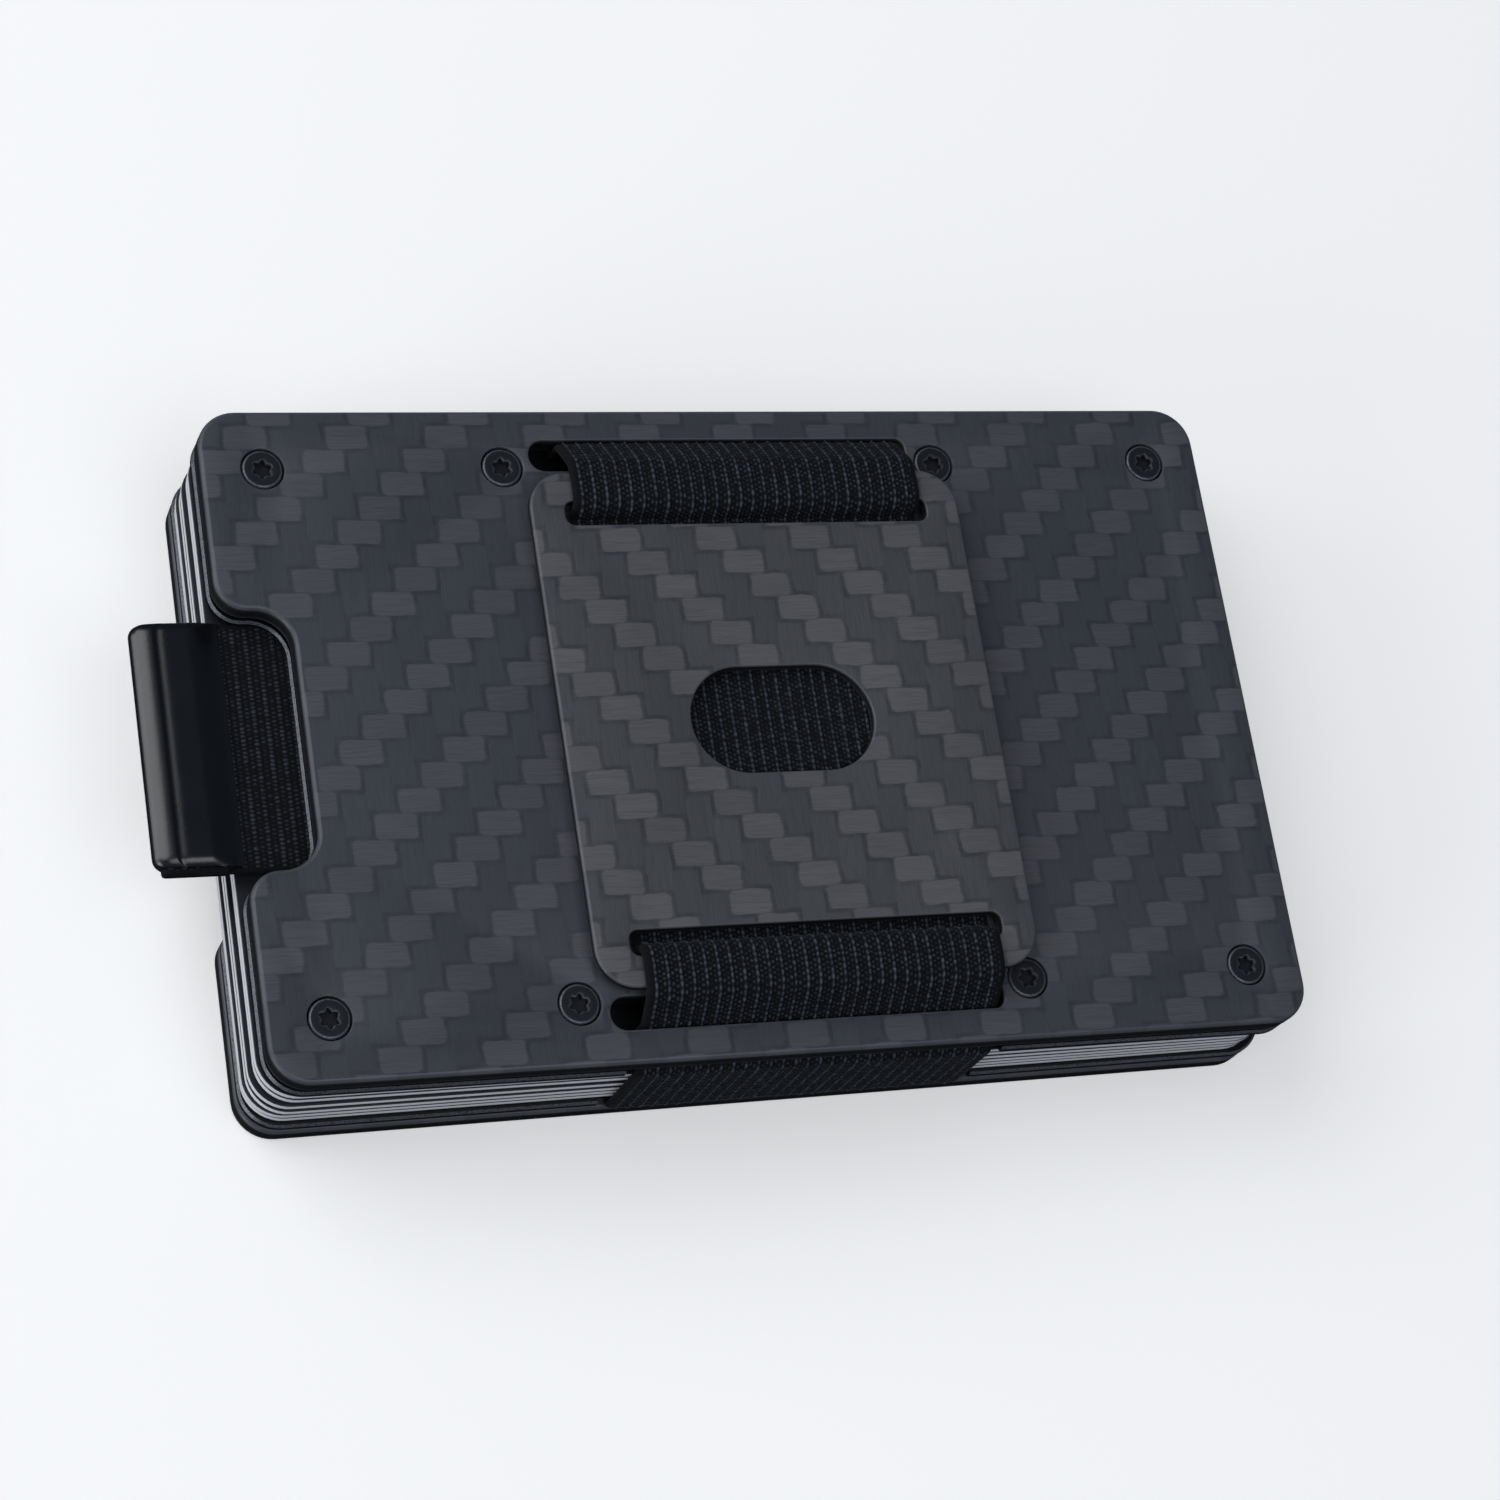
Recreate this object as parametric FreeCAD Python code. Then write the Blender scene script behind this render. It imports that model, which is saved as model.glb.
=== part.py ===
import FreeCAD, Part
import math
import os

# A slim card wallet: two rigid panels hold a stack of cards between them, and one loop of
# elastic webbing pulls the panels together and carries a money clip on the front.  A ribbon
# that runs round the far end of the stack brings the cards out when its tab is pulled.
#
# Millimetres.  The wallet lies on its back panel.  The origin is the centre of the back
# panel's outer face, +X is the closed end, -X the end with the thumb notch and pull tab,
# +Y is across the panels and +Z goes up through the cards to the money clip.

Vector = FreeCAD.Vector

# ---- driving dimensions -------------------------------------------------------------

# Panels: an outer plate and an inner plate, held apart by standoffs.
PANEL_LENGTH = 86.4
PANEL_WIDTH = 54.9
PANEL_CORNER = 3.2
OUTER_THICK = 2.0
INNER_THICK = 0.9
BAND_GAP = 0.8
EDGE_BEVEL = 0.35
INNER_BEVEL = 0.2

# Thumb notch in the mouth end of every plate.
NOTCH_DEPTH = 5.8
NOTCH_HALF_WIDTH = 10.6
NOTCH_INNER_RADIUS = 3.0
NOTCH_MOUTH_RADIUS = 2.5

# Fixings: eight button-headed screws a panel, each in a clinched standoff.
SCREW_X = (-38.3, -18.75, 18.75, 38.3)
SCREW_Y = 22.47
HEAD_RADIUS = 1.62
HEAD_HEIGHT = 1.0
HEAD_BEVEL = 0.15
SHANK_RADIUS = 0.95
COUNTERBORE_RADIUS = 1.76
COUNTERBORE_DEPTH = 1.05
CLEARANCE_HOLE_RADIUS = 1.05
LOBE_CIRCLE = 0.62
LOBE_RADIUS = 0.24
LOBE_COUNT = 6
RECESS_DEPTH = 0.65
STANDOFF_RADIUS = 2.1
STANDOFF_SHANK_RADIUS = 1.6
STANDOFF_BORE_RADIUS = 1.0

# Elastic webbing: one flat loop round the wallet, up through the front panel and over the clip.
BAND_WIDTH = 29.9
BAND_THICK = 0.7
BAND_CENTRE_X = 0.95
BAND_SLOT_HALF_LENGTH = 16.4
BAND_SLOT_Y = 23.45
BAND_SLOT_HEIGHT = 2.7
BAND_SLOT_LEFT_RADIUS = 1.3
BAND_SLOT_RIGHT_RADIUS = 0.8
BAND_PLAY = 0.05
BAND_SIDE_Y = 27.05
INNER_RELIEF_Y = 26.85
INNER_RELIEF_HALF_LENGTH = 15.8

# Cards: the common bank-card format.
CARD_LENGTH = 85.6
CARD_WIDTH = 53.98
CARD_THICK = 0.76
CARD_CORNER = 3.18
CARD_CENTRE_X = -0.25
CARD_PINCH = 0.05
CARD_FLOOR_GAP = 0.08
CARD_ROOF_GAP = 0.55
# How far each card stands off the one below it at the mouth end, from the lowest card up,
# and how far it sits out of line along X.
CARD_FAN = (0.12, 0.08, 0.15, 0.69, 1.04, 0.30)
CARD_OFFSET_X = (0.0, -0.12, 0.08, -0.05, 0.10, 0.02)

# The front panel leans open towards the mouth, because the cards fan out there, and sits a
# little out of line with the back panel along X.
SPLAY_DEG = 2.0
FRONT_SLIP = 0.25

# Money clip: a thin plate that floats on the webbing above the front panel.
CLIP_LENGTH = 36.9
CLIP_WIDTH = 43.1
CLIP_CORNER = 3.2
CLIP_THICK = 1.0
CLIP_LIFT = 0.9
CLIP_CENTRE_X = 0.9
CLIP_CENTRE_Y = -0.45
CLIP_BEVEL = 0.22
CLIP_SLOT_Y = 18.0
CLIP_SLOT_HEIGHT = 2.1
CLIP_SLOT_HALF_LENGTH = 15.6
CLIP_SLOT_CORNER = 0.8
CLIP_WINDOW_LENGTH = 15.5
CLIP_WINDOW_WIDTH = 9.0
UNDER_CLIP_LIFT = 0.12

# Pull ribbon and its tab.
RIBBON_WIDTH = 20.4
RIBBON_THICK = 0.45
RIBBON_CENTRE_Y = 0.5
RIBBON_CHANNEL_WIDTH = 21.4
RIBBON_CHANNEL_DEPTH = 0.5
RIBBON_PLAY = 0.02
RIBBON_FOLD_THICK = 1.06
ANCHOR_X = -34.0
ANCHOR_SLOT_WIDTH = 0.8
ANCHOR_BAR_WIDTH = 2.0
ANCHOR_BAR_THICK = 0.7
LOOP_GAP = 0.1
TAB_NOSE_X = -49.6
TAB_HEEL_X = -43.4
TAB_WALL = 0.56
TAB_WIDTH = 19.9
TAB_CENTRE_Y = 0.75
TAB_CORNER = 0.9

# ---- sizes that follow ---------------------------------------------------------------

PANEL_THICK = OUTER_THICK + BAND_GAP + INNER_THICK
INNER_TOP = -(OUTER_THICK + BAND_GAP)
STACK_PITCH = CARD_THICK + CARD_PINCH
STACK_HEIGHT = len(CARD_FAN) * STACK_PITCH - CARD_PINCH
CLOSED_THICK = 2 * PANEL_THICK + CARD_FLOOR_GAP + STACK_HEIGHT + CARD_ROOF_GAP
HALF_LENGTH = PANEL_LENGTH / 2
HALF_WIDTH = PANEL_WIDTH / 2
BAND_MIN_X = BAND_CENTRE_X - BAND_WIDTH / 2
BAND_MAX_X = BAND_CENTRE_X + BAND_WIDTH / 2
BAND_TOP = -OUTER_THICK - BAND_PLAY
BAND_BOTTOM = BAND_TOP - BAND_THICK
RIBBON_MID = -PANEL_THICK + RIBBON_CHANNEL_DEPTH - RIBBON_PLAY - RIBBON_THICK / 2
CARD_END_X = CARD_CENTRE_X + CARD_LENGTH / 2 + max(CARD_OFFSET_X)
SPLAY = FreeCAD.Rotation(Vector(0, 1, 0), SPLAY_DEG)
CLOSED_END = Vector(HALF_LENGTH + FRONT_SLIP, 0, CLOSED_THICK)


# ---- geometry helpers ----------------------------------------------------------------

def rounded_outline(corners):
    """A closed wire at z = 0 through corners (x, y, radius), each rounded by its radius."""
    edges = []
    starts = []
    ends = []
    count = len(corners)
    for i in range(count):
        here = Vector(corners[i][0], corners[i][1], 0)
        before = Vector(corners[i - 1][0], corners[i - 1][1], 0) - here
        after = Vector(corners[(i + 1) % count][0], corners[(i + 1) % count][1], 0) - here
        before.normalize()
        after.normalize()
        half = before.getAngle(after) / 2
        reach = corners[i][2] / math.tan(half)
        bisector = (before + after).normalize()
        centre = here + bisector * (corners[i][2] / math.sin(half))
        starts.append(here + before * reach)
        ends.append(here + after * reach)
        edges.append(Part.Arc(starts[i], centre - bisector * corners[i][2], ends[i]).toShape())
    for i in range(count):
        edges.append(Part.LineSegment(ends[i], starts[(i + 1) % count]).toShape())
    return Part.Wire(Part.__sortEdges__(edges))


def slab(outline, bottom, top):
    """The solid between two heights whose plan is the wire outline."""
    face = Part.Face(outline)
    face.translate(Vector(0, 0, bottom))
    return face.extrude(Vector(0, 0, top - bottom))


def rounded_box(length, width, radius, bottom, top, centre_x=0.0, centre_y=0.0):
    """A flat block with rounded upright corners."""
    half_x = length / 2
    half_y = width / 2
    corners = [(-half_x, -half_y), (half_x, -half_y), (half_x, half_y), (-half_x, half_y)]
    outline = rounded_outline([(centre_x + x, centre_y + y, radius) for x, y in corners])
    return slab(outline, bottom, top)


def stadium(length, width, bottom, top, centre_x=0.0, centre_y=0.0):
    """A flat block with round ends, longer along X."""
    nearly_round = width / 2 * 0.999
    return rounded_box(length, width, nearly_round, bottom, top, centre_x, centre_y)


def box(low, high):
    """The upright box between two corners."""
    low = Vector(*low)
    high = Vector(*high)
    return Part.makeBox(high.x - low.x, high.y - low.y, high.z - low.z, low)


def bevelled(solid, heights, size):
    """The solid with its flat outline edges at the given heights bevelled."""
    edges = []
    for edge in solid.Edges:
        low = edge.BoundBox.ZMin
        high = edge.BoundBox.ZMax
        if high - low < 1e-6 and any(abs(low - height) < 1e-6 for height in heights):
            edges.append(edge)
    return solid.makeChamfer(size, edges)


def across_band(profile):
    """A solid of the webbing's full width whose section is the (y, z) profile."""
    points = [Vector(BAND_MIN_X, y, z) for y, z in profile]
    face = Part.Face(Part.makePolygon(points + points[:1]))
    return face.extrude(Vector(BAND_WIDTH, 0, 0))


def at_each_screw(shape):
    """Eight copies of a shape, one at each fixing of a panel."""
    copies = []
    for x in SCREW_X:
        for y in (-SCREW_Y, SCREW_Y):
            copy = shape.copy()
            copy.translate(Vector(x, y, 0))
            copies.append(copy)
    return copies


def cylinder(radius, bottom, top, x=0.0, y=0.0):
    """An upright cylinder between two heights."""
    return Part.makeCylinder(radius, top - bottom, Vector(x, y, bottom))


def on_back(shape):
    """A panel shape turned over, so that its outer face lies on z = 0."""
    turned = shape.copy()
    turned.rotate(Vector(0, 0, 0), Vector(1, 0, 0), 180)
    return turned


def on_front(shape):
    """A panel shape set on top of the cards, leaning open towards the mouth."""
    lifted = shape.copy()
    hinge = Vector(HALF_LENGTH, 0, 0)
    lean = FreeCAD.Placement(CLOSED_END - SPLAY.multVec(hinge), SPLAY)
    lifted.Placement = lean.multiply(lifted.Placement)
    return lifted


def front_face_height(x):
    """Height of the front panel's outer face above the origin, at a distance x along it."""
    return CLOSED_THICK + (CLOSED_END.x - x) * math.tan(math.radians(SPLAY_DEG))


# ---- panels: drawn with the outer face up, on z = 0 ------------------------------------

def panel_outline():
    """The plan of a panel: a rounded rectangle with the thumb notch in its -X end."""
    notch_x = -HALF_LENGTH + NOTCH_DEPTH
    return rounded_outline([
        (-HALF_LENGTH, -HALF_WIDTH, PANEL_CORNER),
        (HALF_LENGTH, -HALF_WIDTH, PANEL_CORNER),
        (HALF_LENGTH, HALF_WIDTH, PANEL_CORNER),
        (-HALF_LENGTH, HALF_WIDTH, PANEL_CORNER),
        (-HALF_LENGTH, NOTCH_HALF_WIDTH, NOTCH_MOUTH_RADIUS),
        (notch_x, NOTCH_HALF_WIDTH, NOTCH_INNER_RADIUS),
        (notch_x, -NOTCH_HALF_WIDTH, NOTCH_INNER_RADIUS),
        (-HALF_LENGTH, -NOTCH_HALF_WIDTH, NOTCH_MOUTH_RADIUS),
    ])


def band_slot(side):
    """The cutter for one of the front panel's webbing slots, rounder at its -X end."""
    half = BAND_SLOT_HEIGHT / 2
    left = (-BAND_SLOT_HALF_LENGTH, BAND_SLOT_LEFT_RADIUS)
    right = (BAND_SLOT_HALF_LENGTH, BAND_SLOT_RIGHT_RADIUS)
    low = side * BAND_SLOT_Y - half
    high = side * BAND_SLOT_Y + half
    corners = [(left[0], low, left[1]), (right[0], low, right[1]),
               (right[0], high, right[1]), (left[0], high, left[1])]
    return slab(rounded_outline(corners), -OUTER_THICK - 1, 1)


def outer_plate(with_band_slots):
    """The carbon plate: bevelled, counterbored for the screws, slotted for the webbing."""
    plate = bevelled(slab(panel_outline(), -OUTER_THICK, 0), (0, -OUTER_THICK), EDGE_BEVEL)
    cutters = at_each_screw(cylinder(COUNTERBORE_RADIUS, -COUNTERBORE_DEPTH, 1))
    cutters += at_each_screw(cylinder(CLEARANCE_HOLE_RADIUS, -OUTER_THICK - 1, 0))
    if with_band_slots:
        cutters += [band_slot(-1), band_slot(1)]
    return plate.cut(Part.makeCompound(cutters))


def inner_plate(channel_y, with_anchor_slot):
    """The thin metal plate next to the cards, with a shallow channel for the ribbon."""
    plate = bevelled(slab(panel_outline(), -PANEL_THICK, INNER_TOP),
                     (-PANEL_THICK, INNER_TOP), INNER_BEVEL)
    cutters = at_each_screw(cylinder(STANDOFF_SHANK_RADIUS, -PANEL_THICK - 1, 0))
    for side in (-1, 1):
        relief = box((BAND_CENTRE_X - INNER_RELIEF_HALF_LENGTH, INNER_RELIEF_Y, -PANEL_THICK - 1),
                     (BAND_CENTRE_X + INNER_RELIEF_HALF_LENGTH, HALF_WIDTH + 1, 0))
        if side < 0:
            relief = relief.mirror(Vector(0, 0, 0), Vector(0, 1, 0))
        cutters.append(relief)
    half_channel = RIBBON_CHANNEL_WIDTH / 2
    cutters.append(box((-HALF_LENGTH - 1, channel_y - half_channel, -PANEL_THICK - 1),
                       (HALF_LENGTH + 1, channel_y + half_channel,
                        -PANEL_THICK + RIBBON_CHANNEL_DEPTH)))
    if with_anchor_slot:
        half_slot = ANCHOR_SLOT_WIDTH / 2
        cutters.append(box((ANCHOR_X - half_slot, channel_y - half_channel, -PANEL_THICK - 1),
                           (ANCHOR_X + half_slot, channel_y + half_channel, 0)))
    return plate.cut(Part.makeCompound(cutters))


def screws():
    """Eight screws: a low round head with a six-lobe recess, on a plain shank."""
    head_bottom = -COUNTERBORE_DEPTH
    head_top = head_bottom + HEAD_HEIGHT
    head = bevelled(cylinder(HEAD_RADIUS, head_bottom, head_top), (head_top,), HEAD_BEVEL)
    recess = cylinder(LOBE_CIRCLE, head_top - RECESS_DEPTH, head_top + 1)
    for i in range(LOBE_COUNT):
        angle = 2 * math.pi * i / LOBE_COUNT
        recess = recess.fuse(cylinder(LOBE_RADIUS, head_top - RECESS_DEPTH, head_top + 1,
                                      LOBE_CIRCLE * math.cos(angle),
                                      LOBE_CIRCLE * math.sin(angle)))
    shank = cylinder(SHANK_RADIUS, -PANEL_THICK + BAND_PLAY, head_bottom)
    return Part.makeCompound(at_each_screw(head.cut(recess).fuse(shank).removeSplitter()))


def standoffs():
    """Eight threaded standoffs, clinched in the inner plate, that space the two plates."""
    body = cylinder(STANDOFF_RADIUS, INNER_TOP, -OUTER_THICK)
    body = body.fuse(cylinder(STANDOFF_SHANK_RADIUS, -PANEL_THICK, INNER_TOP))
    body = body.cut(cylinder(STANDOFF_BORE_RADIUS, -PANEL_THICK - 1, 0))
    return Part.makeCompound(at_each_screw(body.removeSplitter()))


# ---- elastic webbing -------------------------------------------------------------------

def back_band():
    """The run of webbing through the back panel, between its two plates."""
    reach = BAND_SIDE_Y + BAND_THICK
    return box((BAND_MIN_X, -reach, BAND_BOTTOM), (BAND_MAX_X, reach, BAND_TOP))


def front_band(side):
    """The run between the front panel's plates, from its long edge to its slot."""
    slot_edge = BAND_SLOT_Y + BAND_SLOT_HEIGHT / 2 - 2 * BAND_PLAY - BAND_THICK
    reach = BAND_SIDE_Y + BAND_THICK
    low, high = sorted((side * slot_edge, side * reach))
    return box((BAND_MIN_X, low, BAND_BOTTOM), (BAND_MAX_X, high, BAND_TOP))


def side_band(side):
    """The upright run past the edges of the cards, from the back panel to the front one."""
    bottom = -BAND_BOTTOM + BAND_PLAY
    points = [Vector(BAND_MIN_X, BAND_SIDE_Y, bottom), Vector(BAND_MAX_X, BAND_SIDE_Y, bottom)]
    for x in (BAND_MAX_X, BAND_MIN_X):
        points.append(Vector(x, BAND_SIDE_Y, front_face_height(x) + BAND_BOTTOM - BAND_PLAY))
    run = Part.Face(Part.makePolygon(points + points[:1])).extrude(Vector(0, BAND_THICK, 0))
    if side < 0:
        run = run.mirror(Vector(0, 0, 0), Vector(0, 1, 0))
    return run


def clip_span(side):
    """The stretch that climbs from the front panel's slot to the top of the clip's edge."""
    foot = side * (BAND_SLOT_Y + BAND_SLOT_HEIGHT / 2 - 2 * BAND_PLAY)
    head = CLIP_CENTRE_Y + side * (CLIP_WIDTH / 2 + BAND_THICK + 4 * BAND_PLAY)
    inwards = -side * BAND_THICK
    top = CLIP_LIFT + CLIP_THICK + BAND_PLAY
    return across_band([(foot, BAND_TOP), (foot + inwards, BAND_TOP),
                        (head + inwards, top), (head, top)])


def clip_strip(side):
    """The turn of webbing that lies over the clip's edge strip and goes down its slot."""
    outer = CLIP_CENTRE_Y + side * (CLIP_WIDTH / 2 + BAND_THICK + 4 * BAND_PLAY)
    leg_outer = CLIP_CENTRE_Y + side * (CLIP_SLOT_Y + CLIP_SLOT_HEIGHT / 2 - BAND_PLAY)
    leg_inner = leg_outer - side * BAND_THICK
    under = UNDER_CLIP_LIFT
    top = CLIP_LIFT + CLIP_THICK + BAND_PLAY
    return across_band([(outer, top), (outer, top + BAND_THICK), (leg_inner, top + BAND_THICK),
                        (leg_inner, under), (leg_outer, under), (leg_outer, top)])


def under_clip_band():
    """The run of webbing beneath the clip, from one of its slots to the other."""
    reach = CLIP_SLOT_Y + CLIP_SLOT_HEIGHT / 2 - BAND_PLAY - BAND_THICK
    return box((BAND_MIN_X, CLIP_CENTRE_Y - reach, UNDER_CLIP_LIFT),
               (BAND_MAX_X, CLIP_CENTRE_Y + reach, UNDER_CLIP_LIFT + BAND_THICK))


# ---- money clip ------------------------------------------------------------------------

def clip_plate():
    """The clip: a thin carbon plate with two webbing slots and a round-ended window."""
    top = CLIP_LIFT + CLIP_THICK
    plate = rounded_box(CLIP_LENGTH, CLIP_WIDTH, CLIP_CORNER, CLIP_LIFT, top,
                        CLIP_CENTRE_X, CLIP_CENTRE_Y)
    plate = bevelled(plate, (CLIP_LIFT, top), CLIP_BEVEL)
    for side in (-1, 1):
        plate = plate.cut(rounded_box(2 * CLIP_SLOT_HALF_LENGTH, CLIP_SLOT_HEIGHT,
                                      CLIP_SLOT_CORNER, 0, top + 1, CLIP_CENTRE_X,
                                      CLIP_CENTRE_Y + side * CLIP_SLOT_Y))
    return plate.cut(stadium(CLIP_WINDOW_LENGTH, CLIP_WINDOW_WIDTH, 0, top + 1,
                             CLIP_CENTRE_X, CLIP_CENTRE_Y))


# ---- cards -----------------------------------------------------------------------------

def card(index):
    """One card, pinched at the closed end and tilted a little more than the one below."""
    pivot = Vector(HALF_LENGTH, 0, PANEL_THICK + CARD_FLOOR_GAP + index * STACK_PITCH)
    blank = rounded_box(CARD_LENGTH, CARD_WIDTH, CARD_CORNER, pivot.z, pivot.z + CARD_THICK,
                        CARD_CENTRE_X + CARD_OFFSET_X[index])
    tilt = math.degrees(math.atan(sum(CARD_FAN[:index + 1]) / PANEL_LENGTH))
    blank.rotate(pivot, Vector(0, 1, 0), tilt)
    return blank


# ---- ribbon and pull tab -----------------------------------------------------------------

def ribbon_block(low_x, high_x, low_z, high_z):
    """A stretch of ribbon of full width."""
    half = RIBBON_WIDTH / 2
    return box((low_x, RIBBON_CENTRE_Y - half, low_z), (high_x, RIBBON_CENTRE_Y + half, high_z))


def ribbon_top_run():
    """The run over the cards, from the tab to the closed end, in the front panel's channel."""
    half = RIBBON_THICK / 2
    return ribbon_block(TAB_HEEL_X, CARD_END_X - FRONT_SLIP, RIBBON_MID - half,
                        RIBBON_MID + half)


def ribbon_bottom_run():
    """The run under the cards, in the back panel's channel, with its tail in the anchor slot."""
    half = RIBBON_THICK / 2
    floor = -RIBBON_MID - half
    run = ribbon_block(ANCHOR_X - half, CARD_END_X, floor, -RIBBON_MID + half)
    tail = ribbon_block(ANCHOR_X - half, ANCHOR_X + half, -BAND_TOP + ANCHOR_BAR_THICK, floor)
    return run.fuse(tail).removeSplitter()


def ribbon_end_loop():
    """The upright stretch round the closed end of the card stack."""
    start = CARD_END_X + LOOP_GAP
    bottom = PANEL_THICK + RIBBON_PLAY
    top = CLOSED_THICK + RIBBON_MID + RIBBON_THICK / 2
    return ribbon_block(start, start + RIBBON_THICK, bottom, top)


def ribbon_anchor_bar():
    """The bar that the ribbon's tail is sewn round, trapped between the back plates."""
    half = ANCHOR_BAR_WIDTH / 2
    return ribbon_block(ANCHOR_X - half, ANCHOR_X + half, -BAND_TOP, -BAND_TOP + ANCHOR_BAR_THICK)


def nosed_profile(nose_x, heel_x, thick, low_y, high_y):
    """A flat bar along Y whose -X edge is a full round."""
    radius = thick / 2
    top = RIBBON_MID + radius
    bottom = RIBBON_MID - radius
    arc = Part.Arc(Vector(nose_x + radius, low_y, top), Vector(nose_x, low_y, RIBBON_MID),
                   Vector(nose_x + radius, low_y, bottom)).toShape()
    path = Part.makePolygon([Vector(nose_x + radius, low_y, bottom), Vector(heel_x, low_y, bottom),
                             Vector(heel_x, low_y, top), Vector(nose_x + radius, low_y, top)])
    wire = Part.Wire([arc] + path.Edges)
    return Part.Face(wire).extrude(Vector(0, high_y - low_y, 0))


def ribbon_folded_end():
    """The ribbon's end, folded double inside the tab."""
    half = RIBBON_WIDTH / 2
    return nosed_profile(TAB_NOSE_X + TAB_WALL, TAB_HEEL_X, RIBBON_FOLD_THICK,
                         RIBBON_CENTRE_Y - half, RIBBON_CENTRE_Y + half)


def pull_tab_cover():
    """The tab's moulded cover, a U in section that closes on the folded ribbon."""
    half = TAB_WIDTH / 2
    thick = RIBBON_FOLD_THICK + 2 * TAB_WALL
    block = nosed_profile(TAB_NOSE_X, TAB_HEEL_X, thick, TAB_CENTRE_Y - half, TAB_CENTRE_Y + half)
    plan = rounded_box(TAB_HEEL_X - TAB_NOSE_X, TAB_WIDTH, TAB_CORNER, RIBBON_MID - thick,
                       RIBBON_MID + thick, (TAB_HEEL_X + TAB_NOSE_X) / 2, TAB_CENTRE_Y)
    mouth = nosed_profile(TAB_NOSE_X + TAB_WALL, TAB_HEEL_X + 1, RIBBON_FOLD_THICK,
                          TAB_CENTRE_Y - TAB_WIDTH, TAB_CENTRE_Y + TAB_WIDTH)
    return block.common(plan).cut(mouth)


# ---- the wallet, one entry per node --------------------------------------------------------

def wallet():
    """Every sub-part of the wallet in its place."""
    nodes = {
        "back_outer_plate": on_back(outer_plate(with_band_slots=False)),
        "back_inner_plate": on_back(inner_plate(-RIBBON_CENTRE_Y, with_anchor_slot=True)),
        "back_screws": on_back(screws()),
        "back_standoffs": on_back(standoffs()),
        "front_outer_plate": on_front(outer_plate(with_band_slots=True)),
        "front_inner_plate": on_front(inner_plate(RIBBON_CENTRE_Y, with_anchor_slot=False)),
        "front_screws": on_front(screws()),
        "front_standoffs": on_front(standoffs()),
        "clip_plate": on_front(clip_plate()),
        "elastic_back_run": on_back(back_band()),
        "elastic_under_clip": on_front(under_clip_band()),
        "ribbon_bottom_run": ribbon_bottom_run(),
        "ribbon_anchor_bar": ribbon_anchor_bar(),
        "ribbon_end_loop": ribbon_end_loop(),
        "ribbon_top_run": on_front(ribbon_top_run()),
        "ribbon_folded_end": on_front(ribbon_folded_end()),
        "pull_tab_cover": on_front(pull_tab_cover()),
    }
    for name, side in (("near", -1), ("far", 1)):
        nodes["elastic_side_run_" + name] = side_band(side)
        nodes["elastic_front_run_" + name] = on_front(front_band(side))
        nodes["elastic_clip_span_" + name] = on_front(clip_span(side))
        nodes["elastic_clip_turn_" + name] = on_front(clip_strip(side))
    for index in range(len(CARD_FAN)):
        nodes["card_%d" % (index + 1)] = card(index)
    return nodes


os.makedirs("parts", exist_ok=True)
for node, shape in wallet().items():
    shape.exportStep("parts/" + node + ".step")
    print("%-26s solids %d  volume %8.1f mm3  valid %s"
          % (node, len(shape.Solids), shape.Volume, shape.isValid()))
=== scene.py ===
"""Looks of a slim card wallet: carbon plates, screws, elastic webbing, pull ribbon and cards.

Sizes are in millimetres and are drawn in one of three frames.  A panel part is drawn with its
outer face up on z = 0 and its middle at the origin, then set on the back or on the front of the
wallet by a placement, which also turns millimetres into metres.
"""
import logging
import math
from dataclasses import dataclass
from enum import Enum

import bmesh
import bpy
import numpy as np
from mathutils import Matrix, Quaternion, Vector


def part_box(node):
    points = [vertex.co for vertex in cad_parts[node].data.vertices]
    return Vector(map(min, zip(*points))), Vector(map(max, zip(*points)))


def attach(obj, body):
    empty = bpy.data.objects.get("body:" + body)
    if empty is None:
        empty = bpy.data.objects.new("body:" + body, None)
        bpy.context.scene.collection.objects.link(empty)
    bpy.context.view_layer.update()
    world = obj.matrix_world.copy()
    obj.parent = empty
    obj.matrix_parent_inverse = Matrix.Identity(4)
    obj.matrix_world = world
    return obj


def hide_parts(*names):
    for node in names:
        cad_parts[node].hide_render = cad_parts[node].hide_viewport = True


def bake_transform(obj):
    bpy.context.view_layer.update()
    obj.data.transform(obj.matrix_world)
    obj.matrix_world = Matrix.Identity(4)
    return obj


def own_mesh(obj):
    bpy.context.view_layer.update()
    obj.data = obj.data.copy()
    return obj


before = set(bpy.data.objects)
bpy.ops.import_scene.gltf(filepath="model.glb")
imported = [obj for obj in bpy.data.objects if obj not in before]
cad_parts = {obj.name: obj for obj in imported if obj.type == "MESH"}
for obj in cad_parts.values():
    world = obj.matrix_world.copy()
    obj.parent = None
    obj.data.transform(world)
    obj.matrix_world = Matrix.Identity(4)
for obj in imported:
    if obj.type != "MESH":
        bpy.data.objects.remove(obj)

LOG = logging.getLogger("wallet")
MM = 0.001
Colour = tuple[float, float, float]
SPLAY = math.radians(2.0)


class Body(Enum):
    """The bodies that pieces ride on."""

    BACK = "back_panel"
    FRONT = "front_panel"
    CLIP = "money_clip"
    CARDS = "card_stack"
    TAB = "pull_tab"


class Slot(Enum):
    """The record's material slots."""

    CARBON = "carbon_fibre"
    PLATE = "black_anodised_plate"
    SCREW = "black_oxide_steel"
    HARDWARE = "steel_hardware"
    WEBBING = "elastic_webbing"
    RIBBON = "pull_ribbon"
    TAB = "tab_moulding"
    CARD = "card_pvc"


class Side(Enum):
    """The two long edges of the wallet; the value is the sign of Y."""

    NEAR = -1
    FAR = 1


class WidthAxis(Enum):
    """The axis that a strip's width lies along; the value is its index."""

    X = 0
    Y = 1


# ---- node helpers -------------------------------------------------------------------------


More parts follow.
